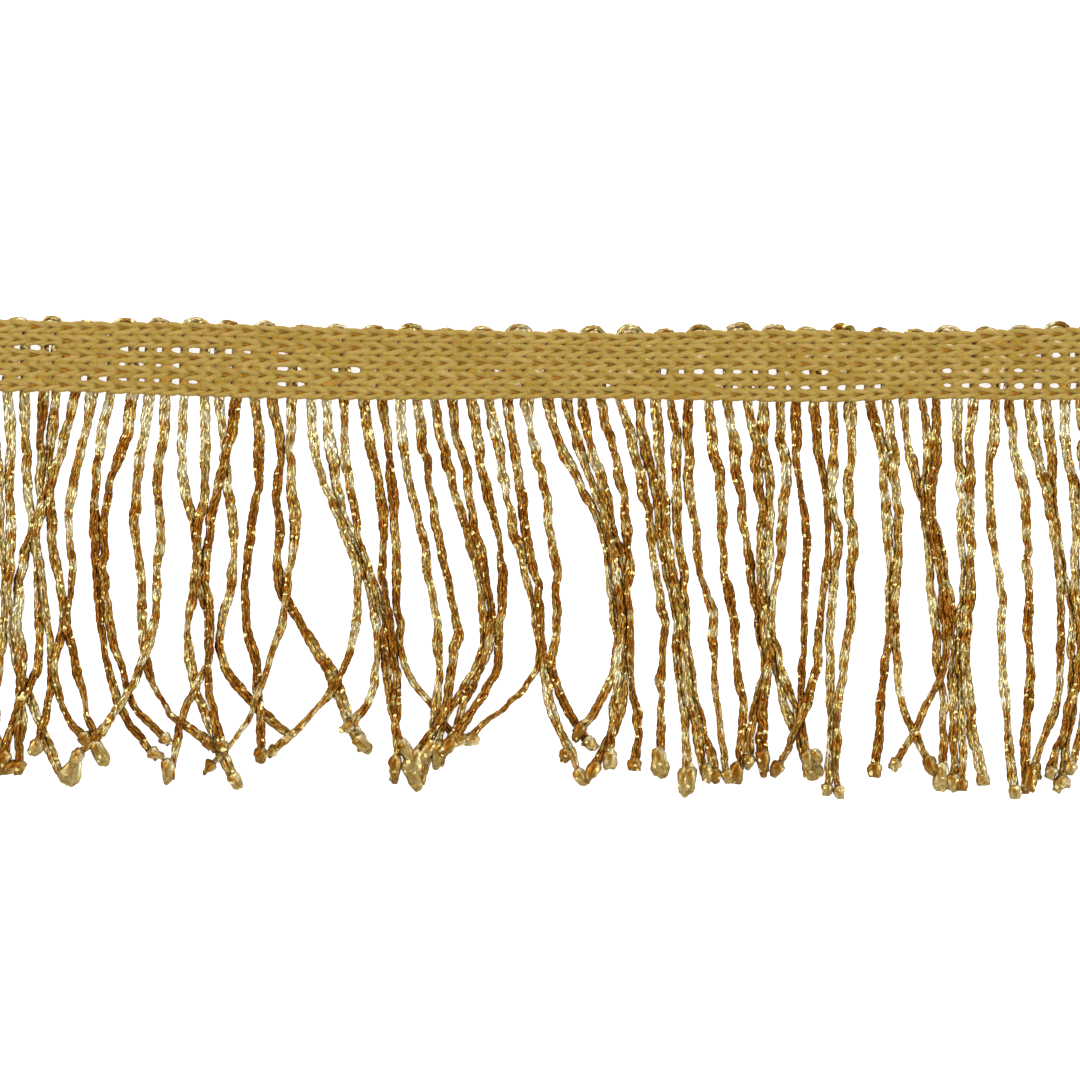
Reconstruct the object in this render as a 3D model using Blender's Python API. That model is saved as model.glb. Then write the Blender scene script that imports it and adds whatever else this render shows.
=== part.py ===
"""Chainette fringe trim, lying flat with its face up.

A band of five chain-stitch rows runs along X. Its lowest row carries the metallic
chainette strands, one from each stitch, so that row and its strands are one solid,
and the four rows above it are the other. Metres, +Z up: the trim lies on z = 0,
its looped free edge faces +Y and the strands run towards -Y.

The tables are charted in small even steps: along the trim to the right, and across it from
the lowest row's lower edge, up through the heading or down along the strands.
"""

import math
from collections import namedtuple

import bmesh
import bpy
import numpy as np
from mathutils import Vector

MM = 0.001

# Driving dimensions, in metres where they have the MM factor and in chart steps elsewhere
CHART_STEP = 0.135 * MM
LEFT_END, RIGHT_END = -57, 1143
OUTLINE_TOP, OUTLINE_BOTTOM = 85.7, -396
ROWS = 5
ROW_GAP = 0.3 * MM
CREST_HEIGHT = 1.85 * MM
VALLEY_HEIGHT = 1.3 * MM
FREE_EDGE_HEIGHT = 0.8 * MM
LOOP_REACH = 13
LOOP_SHOULDER = 0.4
STRAND_WIDTH = 1.0 * MM
STRAND_HEIGHT = 0.8 * MM
LEVEL_DROP = 6 * MM
LEVELS = 7
SEGMENT_LENGTH = 3.7 * MM
BEAD_LENGTH = 2.4 * MM
BEAD_NECK, BEAD_END = 0.45, 0.65
STACK_GAP = 0.1 * MM
SIDE_GAP = 0.04 * MM
STEEPEST_RISE = 0.55
ROUTE_SAMPLES = 240
SEGMENT_SAMPLES = 12
SMOOTH_ANGLE = math.radians(50)

# Finishes
GOLD_YARN = (0.42, 0.26, 0.055, 1.0)
GOLD_FOIL = (0.50, 0.31, 0.10, 1.0)

# One chain-stitch row in section: share of the way up from its lower edge, and height
Shoulder = namedtuple("Shoulder", "share height")
ROW_SECTION = (
    Shoulder(0.0, VALLEY_HEIGHT),
    Shoulder(0.3, 0.97 * CREST_HEIGHT),
    Shoulder(0.7, CREST_HEIGHT),
)
STRIP_SECTION = (
    Shoulder(0.0, STRAND_HEIGHT),
    Shoulder(0.25, 0.85 * CREST_HEIGHT),
    Shoulder(0.55, CREST_HEIGHT),
    Shoulder(1.0, VALLEY_HEIGHT),
)

# The heading's lower and upper edge, which wave gently along the trim
Edge = namedtuple("Edge", "along lower upper")
EDGES = (
    Edge(-57, 9, 81),
    Edge(0, 9, 81),
    Edge(60, 9, 79),
    Edge(180, 5, 78),
    Edge(360, 1, 72),
    Edge(540, 2, 69),
    Edge(620, 2, 67),
    Edge(720, 0, 70),
    Edge(840, -1, 70),
    Edge(910, 2, 68),
    Edge(1000, 1, 71),
    Edge(1143, 1, 74),
)

# The weft loops that stand out of the free edge
Loop = namedtuple("Loop", "along rise")
LOOPS = (
    Loop(-35, 5), Loop(-17, 0), Loop(19, 3), Loop(55, 6), Loop(92, 3), Loop(127, 5),
    Loop(164, 5), Loop(199, 5), Loop(230, 4), Loop(268, 5), Loop(301, 2), Loop(338, 4),
    Loop(378, 4), Loop(413, 7), Loop(448, 2), Loop(485, 4), Loop(520, 8), Loop(556, 3),
    Loop(593, 8), Loop(627, 9), Loop(667, 4), Loop(706, 7), Loop(739, 8), Loop(775, 6),
    Loop(808, 3), Loop(850, 7), Loop(882, 4), Loop(915, 4), Loop(952, 7), Loop(988, 2),
    Loop(1024, 4), Loop(1059, 7), Loop(1095, 4), Loop(1126, 6),
)

# One row a strand: where it lies along the trim at its root and at each 6 mm of fall, then
# its tip and how far below the heading that is. A melted bead at the tip has its width here,
# and 0 is a plain cut tip. over is 1 where a strand lies on top of the others of its bunch.
Strand = namedtuple("Strand", "root at_6 at_12 at_18 at_24 at_30 at_36 at_42 tip fall bead over")
STRANDS = (
    Strand(-46, -45, -44, -43, -42, -42, -43, -44, -46, 352, 0, 0),
    Strand(-28, -27, -26, -26, -27, -28, -30, -32, -34, 370, 0, 0),
    Strand(-10, -4, 0, 1, 1, 1, -1, -3, 2, 366, 0, 0),
    Strand(8, 11, 11, 12, 10, 11, 16, 37, 63, 376, 19, 0),
    Strand(25, 26, 28, 28, 20, 21, 25, 22, 14, 374, 0, 0),
    Strand(44, 43, 38, 38, 39, 39, 36, 19, 1, 356, 0, 0),
    Strand(57, 51, 45, 42, 43, 48, 52, 44, 36, 350, 12, 0),
    Strand(76, 63, 55, 52, 58, 63, 58, 66, 88, 342, 0, 0),
    Strand(92, 82, 73, 70, 73, 69, 77, 88, 103, 363, 14, 0),
    Strand(112, 101, 96, 95, 96, 101, 109, 122, 159, 357, 0, 0),
    Strand(133, 123, 109, 105, 106, 111, 122, 140, 171, 342, 0, 0),
    Strand(150, 143, 137, 135, 142, 144, 147, 175, 213, 346, 0, 0),
    Strand(166, 162, 159, 160, 156, 153, 138, 112, 72, 366, 0, 1),
    Strand(184, 180, 185, 191, 191, 189, 191, 205, 238, 382, 11, 0),
    Strand(204, 205, 206, 201, 200, 201, 201, 184, 169, 378, 0, 0),
    Strand(219, 225, 229, 234, 233, 219, 226, 263, 288, 334, 0, 0),
    Strand(236, 229, 218, 211, 209, 210, 210, 216, 226, 350, 0, 1),
    Strand(255, 259, 256, 251, 246, 248, 255, 260, 262, 358, 11, 0),
    Strand(272, 279, 277, 279, 278, 299, 329, 346, 364, 350, 11, 0),
    Strand(292, 290, 291, 295, 288, 282, 267, 247, 207, 371, 0, 0),
    Strand(311, 314, 327, 344, 354, 356, 344, 314, 268, 355, 0, 1),
    Strand(327, 331, 340, 353, 363, 374, 377, 361, 344, 328, 0, 0),
    Strand(344, 346, 350, 362, 373, 383, 387, 391, 412, 368, 0, 0),
    Strand(364, 370, 378, 384, 385, 392, 396, 400, 395, 380, 0, 1),
    Strand(381, 388, 393, 395, 396, 401, 406, 437, 452, 331, 0, 0),
    Strand(400, 403, 411, 422, 430, 436, 439, 435, 419, 384, 15, 0),
    Strand(418, 422, 430, 439, 449, 456, 452, 442, 412, 358, 0, 1),
    Strand(435, 443, 455, 468, 477, 482, 473, 451, 437, 352, 0, 0),
    Strand(452, 460, 468, 478, 487, 492, 483, 461, 438, 365, 0, 0),
    Strand(471, 479, 487, 497, 503, 502, 497, 473, 446, 346, 0, 1),
    Strand(489, 498, 505, 515, 525, 534, 532, 497, 458, 343, 0, 0),
    Strand(507, 514, 520, 527, 535, 544, 542, 553, 582, 378, 11, 0),
    Strand(527, 533, 545, 552, 557, 557, 552, 569, 592, 347, 0, 0),
    Strand(547, 560, 584, 602, 607, 608, 607, 594, 577, 333, 0, 0),
    Strand(566, 578, 595, 610, 615, 616, 615, 611, 610, 366, 14, 1),
    Strand(582, 591, 605, 618, 624, 624, 624, 620, 591, 371, 0, 0),
    Strand(600, 611, 622, 628, 633, 633, 634, 637, 635, 369, 0, 0),
    Strand(619, 632, 644, 650, 658, 664, 662, 660, 660, 373, 18, 0),
    Strand(638, 645, 654, 661, 667, 673, 676, 683, 687, 391, 15, 0),
    Strand(655, 659, 664, 670, 676, 682, 685, 692, 706, 379, 0, 1),
    Strand(671, 675, 677, 680, 685, 691, 694, 702, 716, 378, 0, 0),
    Strand(688, 688, 689, 695, 702, 712, 715, 719, 727, 380, 0, 0),
    Strand(708, 713, 720, 723, 725, 735, 737, 741, 737, 382, 0, 0),
    Strand(727, 734, 739, 744, 753, 756, 758, 751, 747, 365, 0, 0),
    Strand(747, 755, 758, 761, 762, 764, 767, 763, 764, 370, 11, 1),
    Strand(762, 765, 770, 770, 771, 773, 776, 788, 811, 366, 0, 0),
    Strand(780, 781, 785, 781, 780, 782, 785, 796, 808, 375, 12, 0),
    Strand(795, 796, 800, 806, 806, 804, 802, 801, 806, 360, 0, 0),
    Strand(814, 817, 824, 825, 824, 819, 815, 800, 776, 372, 0, 1),
    Strand(832, 834, 834, 835, 834, 830, 830, 828, 828, 394, 0, 0),
    Strand(850, 852, 848, 853, 851, 850, 842, 837, 839, 396, 0, 1),
    Strand(869, 882, 884, 889, 888, 887, 884, 880, 874, 373, 12, 0),
    Strand(886, 892, 895, 899, 898, 897, 898, 905, 930, 366, 0, 0),
    Strand(903, 908, 920, 936, 948, 952, 953, 953, 953, 388, 0, 0),
    Strand(921, 927, 925, 923, 929, 934, 936, 943, 942, 385, 15, 0),
    Strand(936, 936, 934, 932, 939, 943, 944, 925, 893, 369, 0, 1),
    Strand(956, 957, 961, 962, 961, 961, 961, 962, 962, 389, 0, 0),
    Strand(973, 970, 970, 971, 970, 969, 969, 971, 982, 384, 0, 1),
    Strand(995, 994, 990, 991, 999, 1001, 1004, 1006, 1014, 396, 0, 0),
    Strand(1008, 1013, 1024, 1027, 1028, 1028, 1029, 1026, 1025, 393, 0, 0),
    Strand(1028, 1034, 1044, 1050, 1055, 1060, 1061, 1052, 1030, 374, 0, 1),
    Strand(1045, 1051, 1053, 1059, 1064, 1070, 1070, 1067, 1062, 386, 0, 0),
    Strand(1064, 1066, 1074, 1076, 1074, 1079, 1079, 1064, 1049, 377, 0, 0),
    Strand(1079, 1082, 1084, 1086, 1084, 1088, 1088, 1084, 1069, 372, 0, 0),
    Strand(1097, 1098, 1100, 1101, 1101, 1102, 1103, 1103, 1102, 376, 0, 0),
    Strand(1115, 1116, 1117, 1117, 1118, 1119, 1119, 1120, 1121, 362, 0, 0),
    Strand(1133, 1133, 1132, 1132, 1133, 1134, 1134, 1135, 1135, 384, 0, 0),
)


def clear_scene():
    for old in list(bpy.data.objects):
        bpy.data.objects.remove(old, do_unlink=True)


def smooth_through(knots, values, wanted):
    """Values at the wanted places on the smooth curve that runs through (knots, values)."""
    knots = np.asarray(knots, float)
    values = np.asarray(values, float)
    slopes = np.gradient(values, knots)
    cell = np.clip(np.searchsorted(knots, wanted, side="right") - 1, 0, len(knots) - 2)
    span = knots[cell + 1] - knots[cell]
    t = (wanted - knots[cell]) / span
    start = (2 * t**3 - 3 * t**2 + 1) * values[cell] + (t**3 - 2 * t**2 + t) * span * slopes[cell]
    end = (3 * t**2 - 2 * t**3) * values[cell + 1] + (t**3 - t**2) * span * slopes[cell + 1]
    return start + end


def lower_edge(along):
    return float(smooth_through([e.along for e in EDGES], [e.lower for e in EDGES], along))


def upper_edge(along):
    return float(smooth_through([e.along for e in EDGES], [e.upper for e in EDGES], along))


def loop_rise(along):
    """How far the loops stand out of the free edge at a place: each is a round dome."""
    rise = 0.0
    for loop in LOOPS:
        off = abs(along - loop.along) / LOOP_REACH
        if off < 1.0:
            dome = math.sqrt((1.0 - off * off) / (1.0 - LOOP_SHOULDER * LOOP_SHOULDER))
            rise = max(rise, loop.rise * dome)
    return rise


def row_line(along, side):
    """The line that parts the lowest row from the next, half a gap up (1) or down (-1)."""
    low, high = lower_edge(along), upper_edge(along)
    return low + (high - low) / ROWS + side * ROW_GAP / CHART_STEP / 2


def placed(along, across):
    """Charted steps to metres, about the middle of the trim's outline."""
    x = (along - (LEFT_END + RIGHT_END) / 2) * CHART_STEP
    y = (across - (OUTLINE_TOP + OUTLINE_BOTTOM) / 2) * CHART_STEP
    return x, y


def ribbed_band(bm, stations, lower, upper, section):
    """Adds a band along X with a flat underside, and returns its faces along the lower edge.

    lower and upper are the band's edges, in steps across, at each station along it, and
    section holds the shoulders of its ridges and furrows from the lower to the upper edge.
    """
    columns = len(stations) - 1
    rows = len(section) - 1
    rims = {0: set(), rows: set()}
    for vert in bmesh.ops.create_grid(bm, x_segments=columns, y_segments=rows, size=0.5)["verts"]:
        column = round((vert.co.x + 0.5) * columns)
        row = round((vert.co.y + 0.5) * rows)
        across = lower[column] + (upper[column] - lower[column]) * section[row].share
        vert.co = Vector((*placed(stations[column], across), section[row].height))
        if row in rims:
            rims[row].add(vert)
    feet = []
    walls = {}
    for row, rim in rims.items():
        edges = [edge for edge in bm.edges if rim.issuperset(edge.verts)]
        skirt = bmesh.ops.extrude_edge_only(bm, edges=edges)["geom"]
        foot = {part for part in skirt if isinstance(part, bmesh.types.BMVert)}
        for vert in foot:
            vert.co.z = 0.0
        feet += [edge for edge in bm.edges if foot.issuperset(edge.verts)]
        walls[row] = [part for part in skirt if isinstance(part, bmesh.types.BMFace)]
    bmesh.ops.bridge_loops(bm, edges=feet)
    bmesh.ops.holes_fill(bm, edges=[edge for edge in bm.edges if edge.is_boundary], sides=0)
    return walls[0]


def build_heading(bm):
    """The four upper rows, with stations at the feet and the shoulders of each edge loop."""
    stations = {LEFT_END, RIGHT_END}
    for loop in LOOPS:
        for share in (-1.0, -LOOP_SHOULDER, LOOP_SHOULDER, 1.0):
            stations.add(loop.along + share * LOOP_REACH)
    stations = sorted(s for s in stations if LEFT_END <= s <= RIGHT_END)
    lower = [row_line(along, 1) for along in stations]
    upper = [upper_edge(along) + loop_rise(along) for along in stations]
    rows = ROWS - 1
    section = [Shoulder((n + s.share) / rows, s.height) for n in range(rows) for s in ROW_SECTION]
    section.append(Shoulder(1.0, FREE_EDGE_HEIGHT))
    ribbed_band(bm, stations, lower, upper, section)


def strand_route(strand):
    """Points of a strand in plan, in metres, and its half width at each, root to tip."""
    level = LEVEL_DROP / CHART_STEP
    falls = [-lower_edge(strand.root)] + [level * (n + 1) for n in range(LEVELS)] + [strand.fall]
    places = strand[:len(falls)]
    fine_falls = np.linspace(falls[0], falls[-1], ROUTE_SAMPLES)
    fine = np.column_stack(placed(smooth_through(falls, places, fine_falls), -fine_falls))
    run = np.concatenate([[0.0], np.cumsum(np.linalg.norm(np.diff(fine, axis=0), axis=1))])
    plain = run[-1] - (BEAD_LENGTH if strand.bead else 0.0)
    count = round(plain / SEGMENT_LENGTH)
    spots = list(np.linspace(0.0, plain, count + 1))
    halves = [STRAND_WIDTH / 2] * (count + 1)
    if strand.bead:
        bead_half = strand.bead * CHART_STEP / 2
        spots += [plain + BEAD_NECK * BEAD_LENGTH, run[-1]]
        halves += [bead_half, bead_half * BEAD_END]
    points = np.column_stack([np.interp(spots, run, fine[:, axis]) for axis in (0, 1)])
    return points, np.array(halves)


def lay(routes):
    """Height of each route's points: a strand rests on the surface, and on those laid before it."""
    order = sorted(range(len(routes)), key=lambda n: (STRANDS[n].over, n))
    spots, halves_laid, tops = np.empty((0, 2)), np.empty(0), np.empty(0)
    heights = [None] * len(routes)
    steps = np.linspace(0.0, 1.0, SEGMENT_SAMPLES)
    for number in order:
        points, halves = routes[number]
        spans = [
            (points[k] + steps[:, None] * (points[k + 1] - points[k]),
             halves[k] + steps * (halves[k + 1] - halves[k]))
            for k in range(len(points) - 1)
        ]
        needed = []
        for samples, widths in spans:
            apart = np.linalg.norm(samples[:, None] - spots[None], axis=2)
            under = apart < widths[:, None] + halves_laid[None] + SIDE_GAP
            reached = np.broadcast_to(tops, under.shape)[under]
            needed.append(reached.max() + STACK_GAP if len(reached) else 0.0)
        rests = np.array([0.0] + [max(pair) for pair in zip(needed, needed[1:])] + [needed[-1]])
        steepest = np.linalg.norm(np.diff(points, axis=0), axis=1) * STEEPEST_RISE
        for k in range(1, len(rests)):
            rests[k] = max(rests[k], rests[k - 1] - steepest[k - 1])
        for k in range(len(rests) - 2, 0, -1):
            rests[k] = max(rests[k], rests[k + 1] - steepest[k])
        heights[number] = rests
        for k, (samples, widths) in enumerate(spans):
            spots = np.vstack([spots, samples])
            halves_laid = np.append(halves_laid, widths)
            tops = np.append(tops, rests[k] + steps * (rests[k + 1] - rests[k]) + STRAND_HEIGHT)
    return heights


def strand_corners(point, heading, half, height):
    """Corners of a strand's section: left foot, right foot, right top, left top."""
    side = Vector((-heading.y, heading.x, 0.0)) * half
    foot = Vector((point[0], point[1], height))
    lift = Vector((0.0, 0.0, STRAND_HEIGHT))
    return [foot - side, foot + side, foot + side + lift, foot - side + lift]


def grow_strand(bm, face, points, halves, rests):
    """Extrudes a face of the strip along a strand's route."""
    corners = strand_corners(points[0], Vector((0.0, -1.0)), halves[0], rests[0])
    for k in range(1, len(points)):
        ahead = points[min(k + 1, len(points) - 1)] - points[k - 1]
        moved = strand_corners(points[k], Vector(ahead).normalized(), halves[k], rests[k])
        face = bmesh.ops.extrude_discrete_faces(bm, faces=[face])["faces"][0]
        for vert in face.verts:
            nearest = min(range(len(corners)), key=lambda c: (vert.co - corners[c]).length)
            vert.co = moved[nearest]
        corners = moved


def build_fringe(bm):
    """The lowest row, with a face for each strand's root, and the strands grown from them."""
    routes = [strand_route(strand) for strand in STRANDS]
    rests = lay(routes)
    half = STRAND_WIDTH / CHART_STEP / 2
    roots = [root for strand in STRANDS for root in (strand.root - half, strand.root + half)]
    stations = [LEFT_END, *roots, RIGHT_END]
    lower = [lower_edge(along) for along in stations]
    upper = [row_line(along, -1) for along in stations]
    faces = ribbed_band(bm, stations, lower, upper, STRIP_SECTION)
    faces.sort(key=lambda face: face.calc_center_median().x)
    for face, (points, halves), heights in zip(faces[1::2], routes, rests):
        grow_strand(bm, face, points, halves, heights)


def finished_object(name, build, colour, roughness, metallic, collection):
    bm = bmesh.new()
    build(bm)
    bmesh.ops.recalc_face_normals(bm, faces=bm.faces)
    mesh = bpy.data.meshes.new(name)
    bm.to_mesh(mesh)
    bm.free()
    mesh.shade_smooth()
    mesh.set_sharp_from_angle(angle=SMOOTH_ANGLE)
    material = bpy.data.materials.new(name)
    material.use_nodes = True
    shader = material.node_tree.nodes["Principled BSDF"]
    shader.inputs["Base Color"].default_value = colour
    shader.inputs["Roughness"].default_value = roughness
    shader.inputs["Metallic"].default_value = metallic
    mesh.materials.append(material)
    collection.objects.link(bpy.data.objects.new(name, mesh))


def main():
    clear_scene()
    collection = bpy.data.collections.new("chainette_fringe_trim")
    bpy.context.scene.collection.children.link(collection)
    finished_object("heading", build_heading, GOLD_YARN, 0.8, 0.0, collection)
    finished_object("fringe", build_fringe, GOLD_FOIL, 0.4, 0.6, collection)


main()
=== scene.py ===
"""Dresses the chainette fringe trim: stitches, metallic weft, chainette strands and melted tips.

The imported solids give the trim's place and size. The heading is rebuilt as five rows of
chain stitch over the metallic weft, whose hairpins stand out of the free edge, and each
strand as a small chain of foil yarn that lies on the table or on the strands below it.
Lengths are metres. Tables are charted in small even steps, right along the trim and, where
they say down, towards the strands' tips from the top of the chart.
"""

from __future__ import annotations

import logging
import math
from dataclasses import dataclass, field, replace
from enum import Enum
from typing import Callable, NamedTuple

import bmesh
import bpy
import numpy as np
from mathutils import Matrix, Vector

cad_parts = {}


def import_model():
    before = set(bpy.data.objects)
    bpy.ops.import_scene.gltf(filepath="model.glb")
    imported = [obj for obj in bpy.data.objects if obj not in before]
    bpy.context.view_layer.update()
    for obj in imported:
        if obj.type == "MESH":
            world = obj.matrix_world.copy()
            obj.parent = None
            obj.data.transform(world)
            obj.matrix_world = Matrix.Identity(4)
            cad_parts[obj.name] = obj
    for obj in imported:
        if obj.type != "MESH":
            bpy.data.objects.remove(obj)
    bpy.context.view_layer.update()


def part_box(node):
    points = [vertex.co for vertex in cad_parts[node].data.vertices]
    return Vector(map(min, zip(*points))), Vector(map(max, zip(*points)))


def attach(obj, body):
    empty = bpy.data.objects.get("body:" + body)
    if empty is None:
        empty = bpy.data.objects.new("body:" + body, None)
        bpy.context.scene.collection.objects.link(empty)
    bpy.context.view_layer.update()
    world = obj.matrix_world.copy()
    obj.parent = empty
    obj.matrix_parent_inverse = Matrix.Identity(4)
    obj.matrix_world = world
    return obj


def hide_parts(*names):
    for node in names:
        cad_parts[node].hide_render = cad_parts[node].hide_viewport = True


MM = 0.001
Socket = bpy.types.NodeSocket
log = logging.getLogger("fringe_trim")


class Edge(NamedTuple):
    """The heading's lower and upper edge at a place along the trim, in steps across."""

    along: float
    lower: float
    upper: float


class Strand(NamedTuple):
    """A strand's places along the trim: at its root, at 6 mm down and so on, and at its tip.

    Fall is how far down its tip lies, over is 1 if it lies on the strands beside it, shade is
    how pale its upper, middle and lower part look, from -2 for brown to 2, and girth is how
    stout its lower half is.
    """

    root: float
    at_6: float
    at_12: float
    at_18: float
    at_24: float
    at_30: float
    at_36: float
    at_42: float
    tip: float
    fall: float
    over: int
    shade: tuple
    girth: float = 1.0


class Hole(NamedTuple):
    """A see-through opening below the row of that number, with its size in steps."""

    row: int
    along: float
    width: float
    height: float


class TipKind(Enum):
    """How a strand ends."""

    BEAD = "bead"
    CLEAR = "clear"
    BROWN = "brown"


BEAD, CLEAR, BROWN = TipKind


class Tip(NamedTuple):
    """A melted lump: its middle, width and length in steps, and its turn from straight down.

    A cut lump ends flat, with that share of its length cut away.
    """

    along: float
    down: float
    width: float
    length: float
    turn: float
    kind: TipKind
    cut: float = 0.0


EDGES = (
    Edge(-57, 9, 81),
    Edge(0, 9, 81),
    Edge(60, 9, 79),
    Edge(180, 5, 78),
    Edge(360, 1, 72),
    Edge(540, 2, 69),
    Edge(620, 2, 67),
    Edge(720, 0, 70),
    Edge(840, -1, 70),
    Edge(910, 2, 68),
    Edge(1000, 1, 71),
    Edge(1143, 1, 74),
)

# How far each weft hairpin stands out of the free edge, in steps, from left to right
LOOP_RISES = (
    6, 6, 9, 5, 7, 8, 7, 6, 7, 5, 7, 7, 9, 5, 7, 10, 6, 10, 11, 7, 9, 10, 9, 6, 9, 7, 7, 10, 5, 7,
    10, 7, 8,
)

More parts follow.
